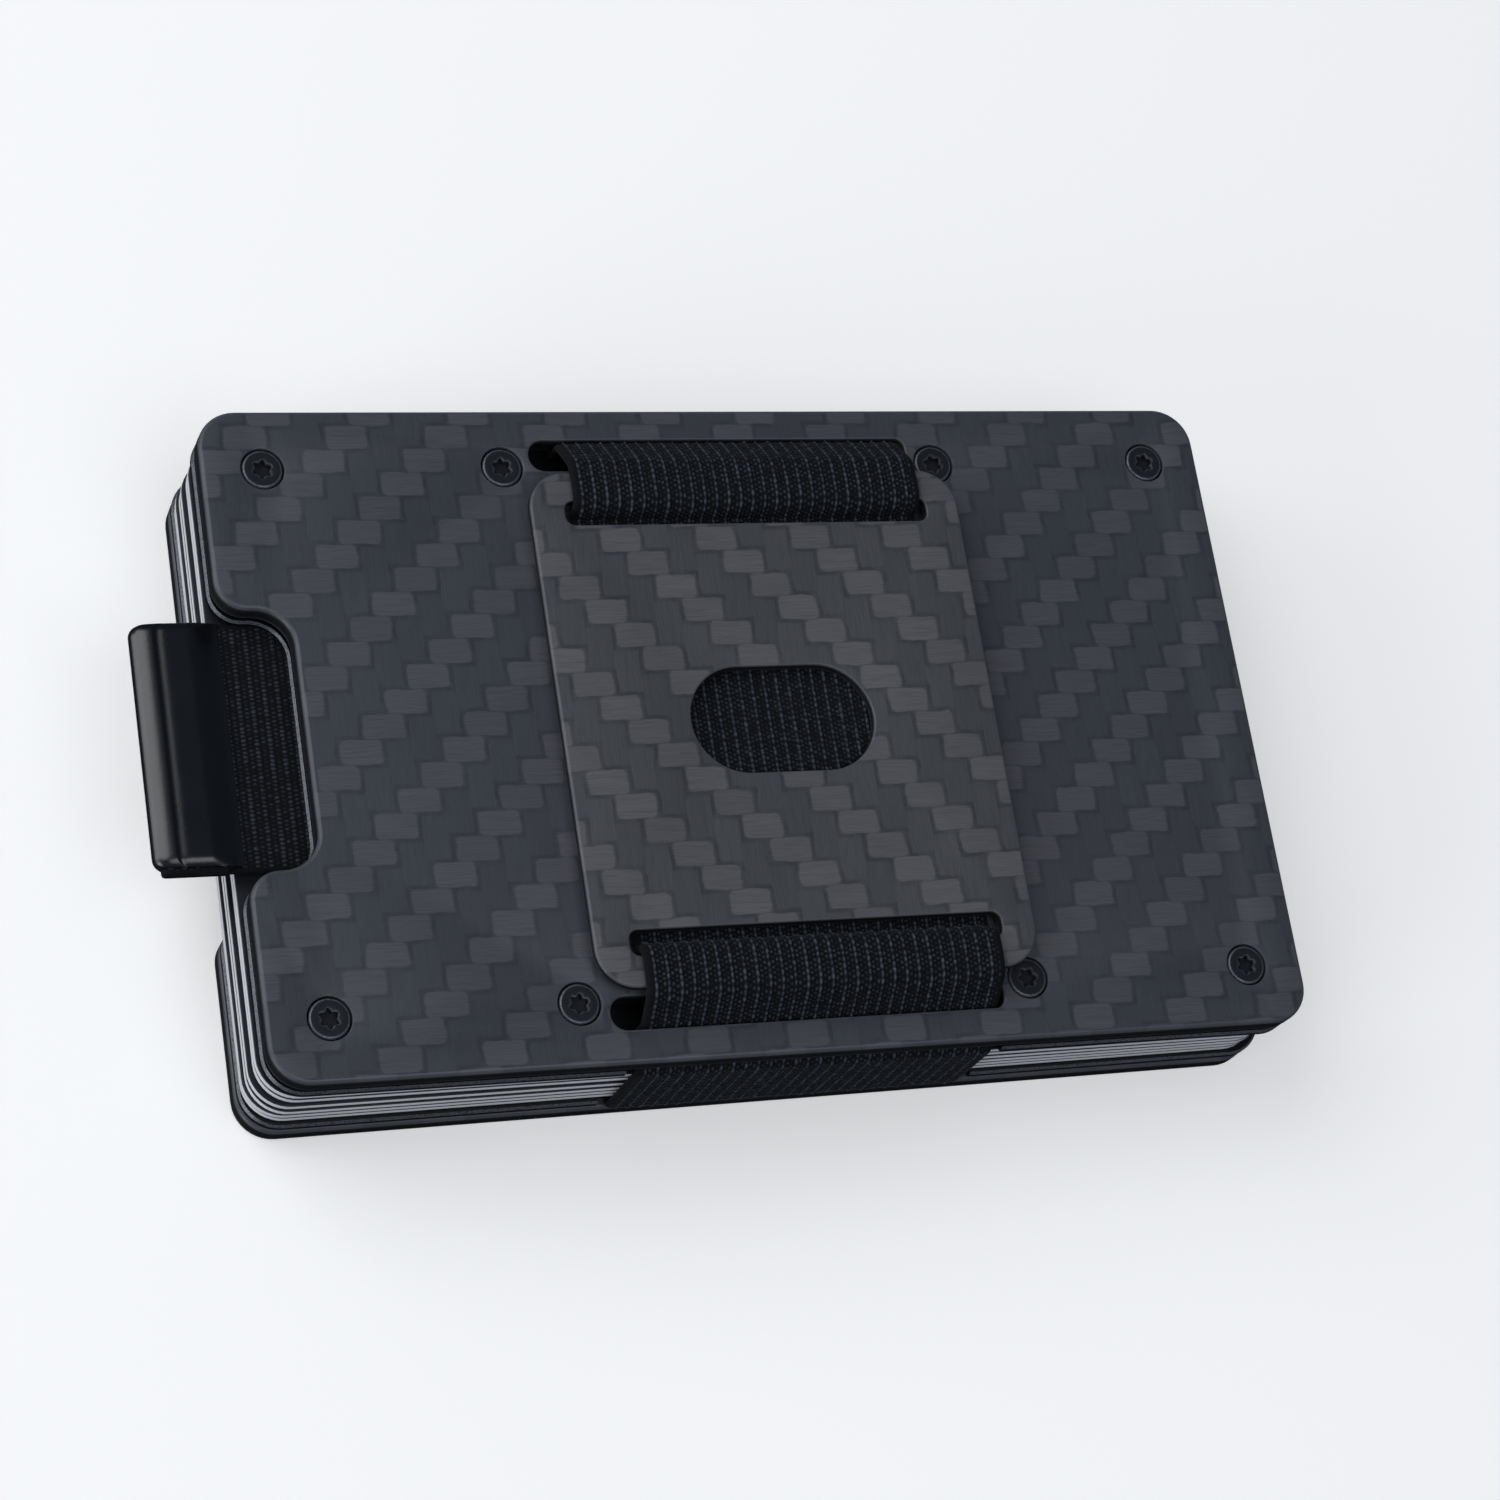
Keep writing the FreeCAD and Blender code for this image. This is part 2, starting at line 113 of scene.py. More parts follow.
class Graph:
    """Adds nodes to a shader or geometry tree and wires them together."""

    def __init__(self, tree: bpy.types.NodeTree) -> None:
        """Keeps the tree that the nodes go in."""
        self.tree = tree

    def plug(self, value: object, socket: bpy.types.NodeSocket) -> None:
        """Links a socket to an input, or sets the input to a plain value.

        Args:
            value: another node's output, or a number, colour, object or name.
            socket: the input.
        """
        if isinstance(value, bpy.types.NodeSocket):
            self.tree.links.new(value, socket)
        else:
            socket.default_value = value

    def add(self, kind: str, inputs: dict | None = None, **settings: object) -> bpy.types.Node:
        """Adds one node.

        Args:
            kind: the node's type name.
            inputs: values or sockets for its inputs, by name or index.
            **settings: properties of the node itself.

        Returns:
            The new node.
        """
        node = self.tree.nodes.new(kind)
        for key, value in settings.items():
            setattr(node, key, value)
        for key, value in (inputs or {}).items():
            self.plug(value, node.inputs[key])
        return node

    def math(self, operation: str, *values: object) -> bpy.types.NodeSocket:
        """Adds a Math node and returns its result."""
        return self.add("ShaderNodeMath", dict(enumerate(values)), operation=operation).outputs[0]

    def times(self, first: object, second: object) -> bpy.types.NodeSocket:
        """The product of two values."""
        return self.math("MULTIPLY", first, second)

    def plus(self, first: object, second: object) -> bpy.types.NodeSocket:
        """The sum of two values."""
        return self.math("ADD", first, second)

    def minus(self, first: object, second: object) -> bpy.types.NodeSocket:
        """The first value less the second."""
        return self.math("SUBTRACT", first, second)

    def vector(self, operation: str, *values: object) -> bpy.types.Node:
        """Adds a Vector Math node."""
        return self.add("ShaderNodeVectorMath", dict(enumerate(values)), operation=operation)

    def combine(self, x: object, y: object, z: object = 0.0) -> bpy.types.NodeSocket:
        """Makes a vector from three values."""
        return self.add("ShaderNodeCombineXYZ", {0: x, 1: y, 2: z}).outputs[0]

    def pick(self, mask: object, if_zero: object, if_one: object) -> bpy.types.NodeSocket:
        """Mixes two values by a mask."""
        node = self.add("ShaderNodeMix", {0: mask, 2: if_zero, 3: if_one}, data_type="FLOAT")
        return node.outputs[0]

    def blend(self, mask: object, if_zero: object, if_one: object) -> bpy.types.NodeSocket:
        """Mixes two colours by a mask.

        Args:
            mask: 0 for the first colour and 1 for the second.
            if_zero: a colour or a socket.
            if_one: a colour or a socket.

        Returns:
            The mixed colour.
        """
        node = self.add("ShaderNodeMix", {0: mask}, data_type="RGBA")
        for socket, value in ((node.inputs[6], if_zero), (node.inputs[7], if_one)):
            self.plug((*value, 1.0) if isinstance(value, tuple) else value, socket)
        return node.outputs[2]

    def vector_part(self, value: object, axis: int) -> bpy.types.NodeSocket:
        """The size of one component of a vector, without its sign."""
        part = self.add("ShaderNodeSeparateXYZ", {0: value}).outputs[axis]
        return self.math("ABSOLUTE", part)

    def step(self, value: object, low: float, high: float) -> bpy.types.NodeSocket:
        """Makes a smooth step from 0 to 1.

        Args:
            value: the number to step.
            low: where the step begins.
            high: where the step ends.

        Returns:
            The stepped number.
        """
        node = self.add("ShaderNodeMapRange", {0: value, 1: low, 2: high},
                        interpolation_type="SMOOTHSTEP")
        return node.outputs[0]


def new_group(name: str, kind: str, inputs: dict[str, str], outputs: dict[str, str]) -> tuple:
    """Makes an empty node group with named sockets.

    Args:
        name: the group's name.
        kind: ShaderNodeTree or GeometryNodeTree.
        inputs: socket types by socket name.
        outputs: socket types by socket name.

    Returns:
        The tree, its Graph, the Group Input node and the Group Output node.
    """
    tree = bpy.data.node_groups.new(name, kind)
    for socket_name, socket_type in inputs.items():
        tree.interface.new_socket(name=socket_name, in_out="INPUT", socket_type=socket_type)
    for socket_name, socket_type in outputs.items():
        tree.interface.new_socket(name=socket_name, in_out="OUTPUT", socket_type=socket_type)
    graph = Graph(tree)
    return tree, graph, graph.add("NodeGroupInput"), graph.add("NodeGroupOutput")


class ShaderGroups:
    """The node groups that the finishes share, each built once."""

    FLOAT = "NodeSocketFloat"
    VECTOR = "NodeSocketVector"

    def __init__(self) -> None:
        """Builds the groups."""
        self.twill = self.build_twill()
        self.zones = self.build_zones()
        self.grain = self.build_grain()

    def build_twill(self) -> bpy.types.NodeTree:
        """Builds a 2/2 twill from a position measured in tows.

        Returns:
            A group with masks for weft, body, tone, fibre, and the painted shade in the gaps past
            each float's end.
        """
        tree, g, group_in, group_out = new_group(
            "twill_weave", "ShaderNodeTree", {"Position": self.VECTOR},
            {name: self.FLOAT for name in ("Weft", "Body", "Tone", "Fibre", "Gap")})
        corner = 0.26
        waver = g.add("ShaderNodeTexNoise", {"Vector": group_in.outputs["Position"],
                                             "Scale": 1.1, "Detail": 4.0})
        shift = g.vector("SUBTRACT", waver.outputs["Color"], (0.5, 0.5, 0.5))
        shift = g.vector("MULTIPLY", shift.outputs[0], (0.30, 0.20, 0.0))
        place = g.vector("ADD", group_in.outputs["Position"], shift.outputs[0])
        split = g.add("ShaderNodeSeparateXYZ", {0: place.outputs[0]})
        u, v = split.outputs[0], split.outputs[1]
        column, row = g.math("FLOOR", u), g.math("FLOOR", v)
        in_column, in_row = g.math("FRACT", u), g.math("FRACT", v)
        phase = g.math("FLOORED_MODULO", g.minus(column, row), 4.0)
        weft = g.math("LESS_THAN", phase, 1.5)
        along_weft = g.plus(phase, in_column)
        along_warp = g.plus(g.minus(3.0, phase), in_row)
        along = g.pick(weft, along_warp, along_weft)
        across = g.pick(weft, in_column, in_row)
        to_end = g.minus(0.86, g.math("ABSOLUTE", g.minus(along, 1.0)))
        to_side = g.minus(0.54, g.math("ABSOLUTE", g.minus(across, 0.5)))
        short = [g.math("MAXIMUM", g.minus(corner, gap), 0.0)
                 for gap in (to_end, to_side)]
        squares = [g.math("POWER", value, 2.0) for value in short]
        reach = g.math("SQRT", g.plus(*squares))
        body = g.step(g.minus(corner, reach), 0.0, 0.10)
        # painted shade: a patchy dark mask in the gap past each float's end, where shade falls
        # between tows
        past_end = g.minus(1.0, g.step(to_end, -0.05, 0.06))
        patchy = g.step(waver.outputs["Fac"], 0.38, 0.62)
        gap = g.times(past_end, g.plus(0.35, g.times(patchy, 0.65)))
        float_id = g.combine(
            g.pick(weft, column, g.minus(column, phase)),
            g.pick(weft, g.minus(row, g.minus(3.0, phase)), row), weft)
        tone = g.add("ShaderNodeTexWhiteNoise", {"Vector": float_id}).outputs["Value"]
        streak = g.combine(g.pick(weft, g.times(v, 0.8), g.times(u, 0.8)),
                           g.pick(weft, g.times(u, 22.0), g.times(v, 22.0)),
                           g.times(tone, 9.0))
        fibre = g.add("ShaderNodeTexNoise", {"Vector": streak, "Scale": 1.0, "Detail": 2.0})
        for name, value in (("Weft", weft), ("Body", body), ("Tone", tone),
                            ("Fibre", fibre.outputs[0]), ("Gap", gap)):
            g.plug(value, group_out.inputs[name])
        return tree

    def build_zones(self) -> bpy.types.NodeTree:
        """Builds masks for a plate's flat faces, rounded rims and upright walls.

        Returns:
            A group with Face, Rim and Wall masks.
        """
        tree, g, group_in, group_out = new_group(
            "plate_zones", "ShaderNodeTree", {"Normal": self.VECTOR, "Axis": self.VECTOR},
            {name: self.FLOAT for name in ("Face", "Rim", "Wall")})
        dot = g.vector("DOT_PRODUCT", group_in.outputs["Normal"], group_in.outputs["Axis"])
        facing = g.math("ABSOLUTE", dot.outputs["Value"])
        face = g.step(facing, 0.955, 0.998)
        wall = g.minus(1.0, g.step(facing, 0.02, 0.30))
        rim = g.minus(g.minus(1.0, face), wall)
        for name, value in (("Face", face), ("Rim", rim), ("Wall", wall)):
            g.plug(value, group_out.inputs[name])
        return tree

    def build_grain(self) -> bpy.types.NodeTree:
        """Builds fine speckle and broad handling marks from a position in millimetres.

        Returns:
            A group with Speckle and Smudge values around 0.5.
        """
        tree, g, group_in, group_out = new_group(
            "surface_grain", "ShaderNodeTree",
            {"Position": self.VECTOR, "Fineness": self.FLOAT},
            {name: self.FLOAT for name in ("Speckle", "Smudge")})
        speckle = g.add("ShaderNodeTexNoise", {"Vector": group_in.outputs["Position"],
                                               "Scale": group_in.outputs["Fineness"],
                                               "Detail": 2.0})
        smudge = g.add("ShaderNodeTexNoise", {"Vector": group_in.outputs["Position"],
                                              "Scale": 0.14, "Detail": 4.0, "Distortion": 1.2})
        g.plug(speckle.outputs[0], group_out.inputs["Speckle"])
        g.plug(smudge.outputs[0], group_out.inputs["Smudge"])
        return tree


class FinishGraph(Graph):
    """A material's own tree, with the nodes that every finish starts from."""

    def __init__(self, name: str, groups: ShaderGroups) -> None:
        """Makes the material, its shader and its position in millimetres.

        Args:
            name: the material's name.
            groups: the shared node groups.
        """
        self.material = bpy.data.materials.new(name)
        self.material.use_nodes = True
        super().__init__(self.material.node_tree)
        self.groups = groups
        self.shader = self.tree.nodes["Principled BSDF"]
        place = self.add("ShaderNodeTexCoord")
        self.normal = place.outputs["Normal"]
        scaled = self.vector("SCALE", place.outputs["Object"])
        scaled.inputs["Scale"].default_value = 1 / MM
        self.position = scaled.outputs[0]

    def group(self, tree: bpy.types.NodeTree, **inputs: object) -> dict:
        """Places a shared group.

        Args:
            tree: the group.
            inputs: its inputs, by name in small letters.

        Returns:
            Its outputs by name.
        """
        node = self.add("ShaderNodeGroup", node_tree=tree)
        for name, value in inputs.items():
            self.plug(value, node.inputs[name.capitalize()])
        return {socket.name: socket for socket in node.outputs}

    def attribute(self, name: str) -> bpy.types.NodeSocket:
        """Reads a number that the mesh carries."""
        return self.add("ShaderNodeAttribute", attribute_name=name).outputs["Fac"]

    def bump(self, height: object, distance: float, strength: float) -> None:
        """Feeds a height to the shader's normal.

        Args:
            height: the height, from 0 to 1.
            distance: what a height of 1 stands for, in millimetres.
            strength: how much of the bump shows.
        """
        node = self.add("ShaderNodeBump", {"Height": height, "Distance": distance * MM,
                                           "Strength": strength})
        self.plug(node.outputs[0], self.shader.inputs["Normal"])

    def set(self, **values: object) -> None:
        """Sets or links the shader's inputs, named with underscores for spaces."""
        for name, value in values.items():
            if isinstance(value, tuple):
                value = (*value, 1.0)
            self.plug(value, self.shader.inputs[name.replace("_", " ")])


# ---- finishes -----------------------------------------------------------------------------


@dataclass(frozen=True)
class CarbonTwill:
    """Satin carbon fibre laminate in 2/2 twill, with tow sizes in millimetres."""

    name: str
    tow: tuple[float, float]
    phase: tuple[float, float]
    mirrored: bool = False
    # weft is painted lighter than warp: a painted reflection standing in for light glancing
    # differently off tows that run the other way
    weft: Colour = (0.098, 0.101, 0.116)
    warp: Colour = (0.062, 0.070, 0.083)
    # a darker colour for random tows and fibre streaks, and for the painted shade where tows meet
    # and in the gaps between them
    dark_fibre_and_gap_shade: Colour = (0.030, 0.034, 0.043)
    lean: float = SPLAY

    def build(self, groups: ShaderGroups) -> bpy.types.Material:
        """Builds the material.

        Args:
            groups: the shared node groups.

        Returns:
            The material.
        """
        g = FinishGraph(self.name, groups)
        hand = -1.0 if self.mirrored else 1.0
        to_tows = g.add("ShaderNodeMapping", {"Vector": g.position})
        to_tows.inputs["Scale"].default_value = (hand / self.tow[0], 1 / self.tow[1], 0.0)
        to_tows.inputs["Location"].default_value = (*self.phase, 0.0)
        weave = g.group(groups.twill, position=to_tows.outputs[0])
        axis = (math.sin(self.lean), 0.0, math.cos(self.lean))
        zones = g.group(groups.zones, normal=g.normal, axis=axis)
        grain = g.group(groups.grain, position=g.position, fineness=3.2)
        # painted reflection: weft floats take the lighter weft colour
        cloth = g.blend(g.times(weave["Weft"], weave["Body"]), self.warp, self.weft)
        cloth = g.blend(g.times(weave["Tone"], 0.22), cloth, self.dark_fibre_and_gap_shade)
        streaks = g.times(g.step(weave["Fibre"], 0.35, 0.75), 0.30)
        cloth = g.blend(streaks, cloth, self.dark_fibre_and_gap_shade)
        # painted shade: darker where the tows meet and in the gaps past each float's end
        crease = g.times(g.minus(1.0, weave["Body"]), 0.10)
        crease = g.math("MAXIMUM", crease, g.times(weave["Gap"], 0.55))
        cloth = g.blend(crease, cloth, self.dark_fibre_and_gap_shade)
        depth = g.attribute("depth")
        plies = g.math("SINE", g.times(depth, 2 * math.pi / 0.25))
        laminate = g.blend(g.step(plies, -0.4, 0.9), (0.0025, 0.003, 0.0045), (0.008, 0.009, 0.012))
        laminate = g.blend(g.step(grain["Speckle"], 0.45, 0.7), laminate, (0.011, 0.012, 0.015))
        colour = g.blend(zones["Wall"], cloth, laminate)
        # painted highlight: the rounded rims are painted lighter
        colour = g.blend(g.times(zones["Rim"], 0.6), colour, (0.095, 0.10, 0.115))
        rough = g.pick(weave["Weft"], 0.47, 0.40)
        rough = g.plus(rough, g.times(grain["Smudge"], 0.12))
        rough = g.pick(zones["Wall"], g.pick(zones["Rim"], rough, 0.30), 0.6)
        g.set(Base_Color=colour, Roughness=rough, IOR=1.5, Specular_IOR_Level=0.35)
        height = g.plus(g.times(weave["Body"], 0.75),
                        g.times(weave["Fibre"], 0.25))
        g.bump(g.times(height, zones["Face"]), 0.02, 0.35)
        return g.material


@dataclass(frozen=True)
class WovenBlack:
    """Near-black woven elastic or ribbon, with painted highlights flecked on the crowns of its
    threads and painted shade in the valleys.
    """

    name: str
    # the first colour is the painted highlight on thread crowns; the second is the near-black yarn,
    # made very dark as painted shade in the valleys
    thread: Colour
    dark_yarn_and_valley_shade: Colour
    sheen: float

    def build(self, groups: ShaderGroups) -> bpy.types.Material:
        """Builds the material from the relief that the mesh carries.

        Args:
            groups: the shared node groups.

        Returns:
            The material.
        """
        g = FinishGraph(self.name, groups)
        grain = g.group(groups.grain, position=g.position, fineness=6.5)
        crown = g.step(g.attribute("relief"), 0.10, 0.66)
        # painted highlight: flecks of the lighter colour on the threads' crowns; elsewhere the
        # near-black yarn, darkened as painted shade
        crown_highlight = g.times(crown, g.step(grain["Speckle"], 0.22, 0.52))
        g.set(Base_Color=g.blend(crown_highlight, self.dark_yarn_and_valley_shade, self.thread),
              Roughness=g.pick(crown, 0.9, 0.5), Specular_IOR_Level=0.3,
              Sheen_Weight=self.sheen, Sheen_Roughness=0.4)
        g.bump(grain["Speckle"], 0.05, 0.6)
        return g.material


@dataclass(frozen=True)
class MouldedPlastic:
    """Smooth satin moulding with a very fine spark-eroded texture."""

    name: str
    colour: Colour
    roughness: float

    def build(self, groups: ShaderGroups) -> bpy.types.Material:
        """Builds the material.

        Args:
            groups: the shared node groups.

        Returns:
            The material.
        """
        g = FinishGraph(self.name, groups)
        grain = g.group(groups.grain, position=g.position, fineness=7.0)
        g.set(Base_Color=g.blend(grain["Smudge"], self.colour, tuple(c * 1.5 for c in self.colour)),
              Roughness=g.plus(self.roughness, g.times(grain["Smudge"], 0.08)),
              IOR=1.5, Specular_IOR_Level=1.0)
        g.bump(grain["Speckle"], 0.010, 0.6)
        return g.material


@dataclass(frozen=True)
class DarkMetal:
    """Black-finished metal, lighter on its rims: rubbed edge wear together with a painted
    highlight.
    """

    name: str
    colour: Colour
    rim_wear_and_highlight: Colour
    roughness: float
    metallic: float
    axis: Colour = (0.0, 0.0, 1.0)

    def build(self, groups: ShaderGroups) -> bpy.types.Material:
        """Builds the material.

        Args:
            groups: the shared node groups.

        Returns:
            The material.
        """
        g = FinishGraph(self.name, groups)
        grain = g.group(groups.grain, position=g.position, fineness=9.0)
        zones = g.group(groups.zones, normal=g.normal, axis=self.axis)
        # rims lighter: speckled edge wear together with a painted highlight on the rounded rims
        rim_wear_and_highlight_mask = g.times(zones["Rim"], g.step(grain["Speckle"], 0.2, 0.6))
        g.set(Base_Color=g.blend(rim_wear_and_highlight_mask, self.colour, self.rim_wear_and_highlight), Metallic=self.metallic,
              Roughness=g.plus(self.roughness, g.times(grain["Speckle"], 0.12)))
        g.bump(grain["Speckle"], 0.01, 0.4)
        return g.material


@dataclass(frozen=True)
class LaminatedCard:
    """White card stock with dark faces, and painted shade along the top and bottom of each long
    edge, where shade falls between the stacked cards.
    """

    name: str
    stock: Colour
    dark_face_and_edge_shade: Colour
    thick: float

    def build(self, groups: ShaderGroups) -> bpy.types.Material:
        """Builds the material.

        Args:
            groups: the shared node groups.

        Returns:
            The material.
        """
        g = FinishGraph(self.name, groups)
        grain = g.group(groups.grain, position=g.position, fineness=4.0)
        zones = g.group(groups.zones, normal=g.normal, axis=(0.0, 0.0, 1.0))
        # painted shade: dark bands at the top and bottom of the long edges only, where shade falls
        # between the stacked cards
        from_mid = g.math("ABSOLUTE", g.minus(g.attribute("depth"), self.thick / 2))
        edge_shade_band = g.step(from_mid, self.thick / 2 - 0.09, self.thick / 2 - 0.03)
        long_edge = g.step(g.vector_part(g.normal, 1), 0.55, 0.9)
        edge = g.blend(g.times(edge_shade_band, long_edge), self.stock, self.dark_face_and_edge_shade)
        scuff = g.times(g.step(grain["Speckle"], 0.62, 0.8), 0.12)
        colour = g.blend(zones["Wall"], self.dark_face_and_edge_shade, edge)
        g.set(Base_Color=g.blend(scuff, colour, (0.3, 0.3, 0.32)),
              Roughness=g.plus(0.28, g.times(grain["Smudge"], 0.2)), IOR=1.5)
        g.bump(grain["Speckle"], 0.004, 0.5)
        return g.material


# ---- mesh helpers -------------------------------------------------------------------------


class Outline:
    """A closed outline through corners (x, y, radius), counter-clockwise, each one rounded."""

    def __init__(self, corners: list[tuple[float, float, float]], arc_steps: int = 10) -> None:
        """Works out where each corner's arc has its centre, and the way that it turns.

        Args:
            corners: the sharp corners and the radius of each, in millimetres.
            arc_steps: segments in a quarter turn.
        """
        self.arcs = []
        for i, (x, y, radius) in enumerate(corners):
            here = Vector((x, y))
            before = (Vector(corners[i - 1][:2]) - here).normalized()
            after = (Vector(corners[(i + 1) % len(corners)][:2]) - here).normalized()
            opening = before.angle(after)
            centre = here + (before + after).normalized() * (radius / math.sin(opening / 2))
            convex = 1 if before.cross(after) < 0 else -1
            foot = here + before * (radius / math.tan(opening / 2)) - centre
            start = math.atan2(foot.y, foot.x)
            turn = convex * (math.pi - opening)
            steps = max(2, round(arc_steps * abs(turn) / (math.pi / 2)))
            self.arcs.append((centre, radius, convex, start, turn, steps))

    def ring(self, inset: float = 0.0) -> list[tuple[float, float]]:
        """Draws the outline's points.

        Args:
            inset: how far they move inwards.

        Returns:
            The points in order.
        """
        points = []
        for centre, radius, convex, start, turn, steps in self.arcs:
            reach = max(radius - convex * inset, 0.01)
            for k in range(steps + 1):
                angle = start + turn * k / steps
                points.append((centre.x + reach * math.cos(angle),
                               centre.y + reach * math.sin(angle)))
        return points


def box_outline(length: float, width: float, radius: float, centre: tuple[float, float],
                arc_steps: int = 10) -> Outline:
    """Makes a rounded rectangle.

    Args:
        length: its size along X.
        width: its size along Y.
        radius: its corners' radius.
        centre: its middle.
        arc_steps: segments in a quarter turn.

    Returns:
        The outline.
    """
    x, y = length / 2, width / 2
    corners = [(centre[0] + sx * x, centre[1] + sy * y, radius)
               for sx, sy in ((-1, -1), (1, -1), (1, 1), (-1, 1))]
    return Outline(corners, arc_steps)


def circle_outline(radius: float, centre: tuple[float, float]) -> Outline:
    """A circle."""
    return box_outline(2 * radius, 2 * radius, radius * 0.999, centre, 8)


def rounded_wall(top: float, bottom: float, edge: float,
                 steps: int = 4) -> list[tuple[float, float]]:
    """Draws a wall's profile from its top face to its bottom face.

    Args:
        top: height of the top face.
        bottom: height of the bottom face.
        edge: radius of both rims.
        steps: segments in each rim.

    Returns:
        (inset, height) pairs.
    """
    quarter = [math.pi / 2 * k / steps for k in range(steps + 1)]
    upper = [(edge * (1 - math.sin(a)), top - edge * (1 - math.cos(a))) for a in quarter]
    return upper + [(inset, top + bottom - height) for inset, height in reversed(upper)]


@dataclass
class Plate:
    """A flat part with rounded rims and holes, built as one closed mesh."""

    outline: Outline
    top: float
    bottom: float
    edge: float

    def __post_init__(self) -> None:
        """Starts with no holes."""
        self.holes: list[tuple[Outline, list[tuple[float, float]]]] = []

    def cut(self, outline: Outline, edge: float) -> None:
        """Cuts a hole with rounded rims right through."""
        profile = rounded_wall(self.top, self.bottom, edge, 3)
        self.holes.append((outline, [(-inset, height) for inset, height in profile]))

    def counterbore(self, x: float, y: float, bore: float, depth: float, hole: float) -> None:
        """Cuts a counterbored screw hole.

        Args:
            x: the hole's place along the part.
            y: the hole's place across the part.
            bore: the counterbore's radius.
            depth: the counterbore's depth.
            hole: the clearance hole's radius.
        """
        rim = 0.07
        floor = self.top - depth
        profile = [(-rim, self.top), (-rim * 0.3, self.top - rim * 0.3), (0.0, self.top - rim),
                   (0.0, floor), (bore - hole, floor), (bore - hole, self.bottom)]
        self.holes.append((circle_outline(bore, (x, y)), profile))

    def build(self, name: str, placement: Matrix) -> bpy.types.Object:
        """Makes the mesh object.

        Args:
            name: the piece's name.
            placement: from the part's own frame in millimetres to the wallet's in metres.

        Returns:
            The finished object, with the depth below the top face on every vertex.
        """
        mesh = bmesh.new()
        depth = mesh.verts.layers.float.new("depth")
        tops, bottoms = [], []
        walls = [(self.outline, rounded_wall(self.top, self.bottom, self.edge))] + self.holes
        for outline, profile in walls:
            previous = None
            for inset, height in profile:
                ring = []
                for x, y in outline.ring(inset):
                    vert = mesh.verts.new((x, y, height))
                    vert[depth] = self.top - height
                    ring.append(vert)
                edges = [mesh.edges.new((ring[i - 1], ring[i])) for i in range(len(ring))]
                if previous is None:
                    tops += edges
                else:
                    for i in range(len(ring)):
                        mesh.faces.new((previous[i - 1], previous[i], ring[i], ring[i - 1]))
                previous = ring
            bottoms += edges
        for face in mesh.faces:
            face.smooth = True
        for edges in (tops, bottoms):
            bmesh.ops.triangle_fill(mesh, use_beauty=True, edges=edges)
        bmesh.ops.recalc_face_normals(mesh, faces=mesh.faces)
        return finished(mesh, name, placement)


def finished(mesh: bmesh.types.BMesh, name: str, placement: Matrix,
             crease: float = 40.0) -> bpy.types.Object:
    """Turns a bmesh into an object in its place.

    Args:
        mesh: the closed bmesh, freed here.
        name: the piece's name.
        placement: from the part's own frame to the wallet's.
        crease: edges sharper than this many degrees stay sharp.

    Returns:
        The object, linked to the scene, at the origin.
    """
    data = bpy.data.meshes.new(name)
    mesh.to_mesh(data)
    mesh.free()
    data.transform(placement)
    data.set_sharp_from_angle(angle=math.radians(crease))
    piece = bpy.data.objects.new(name, data)
    bpy.context.scene.collection.objects.link(piece)
    return piece


def lofted(rings: list[np.ndarray], capped: bool = True) -> bmesh.types.BMesh:
    """Joins closed rings of equal length into a smooth shell.

    Args:
        rings: arrays of points, one ring after another.
        capped: whether the first and last rings are closed by a face.

    Returns:
        The bmesh, with its normals outwards.
    """
    mesh = bmesh.new()
    previous = None
    for ring in rings:
        row = [mesh.verts.new(tuple(map(float, point))) for point in ring]
        if previous is not None:
            for i in range(len(row)):
                mesh.faces.new((previous[i - 1], previous[i], row[i], row[i - 1]))
        elif capped:
            mesh.faces.new(row)
        previous = row
    if capped:
        mesh.faces.new(previous)
    for face in mesh.faces:
        face.smooth = len(face.verts) == 4
    bmesh.ops.triangulate(mesh, faces=[face for face in mesh.faces if len(face.verts) > 4])
    bmesh.ops.recalc_face_normals(mesh, faces=mesh.faces)
    return mesh


def path_length(line: np.ndarray) -> np.ndarray:
    """Distance along a path at each of its points."""
    return np.concatenate([[0], np.cumsum(np.linalg.norm(np.diff(line, axis=0), axis=1))])


def bent_path(corners: list[tuple[float, float, float]], count: int) -> np.ndarray:
    """Points evenly spaced along straight runs that tangent arcs join.

    Args:
        corners: (a, b, radius) in the path's plane; the radius of the two ends isn't used.
        count: how many points to return.

    Returns:
        An array of count points.
    """
    points = [np.array(corners[0][:2])]
    for i in range(1, len(corners) - 1):
        here = np.array(corners[i][:2])
        before, after = (way / np.linalg.norm(way) for way in
                         (np.array(corners[i + k][:2]) - here for k in (-1, 1)))
        opening = math.acos(max(-1.0, min(1.0, float(before @ after))))
        bisector = (before + after) / np.linalg.norm(before + after)
        centre = here + bisector * corners[i][2] / math.sin(opening / 2)
        first, last = (here + way * corners[i][2] / math.tan(opening / 2) - centre
                       for way in (before, after))
        for t in np.linspace(0, 1, 17):
            spoke = first * (1 - t) + last * t
            points.append(centre + spoke / np.linalg.norm(spoke) * corners[i][2])
    points.append(np.array(corners[-1][:2]))
    line = np.array(points)
    reach = path_length(line)
    even = np.linspace(0, reach[-1], count)
    return np.stack([np.interp(even, reach, line[:, 0]), np.interp(even, reach, line[:, 1])], 1)


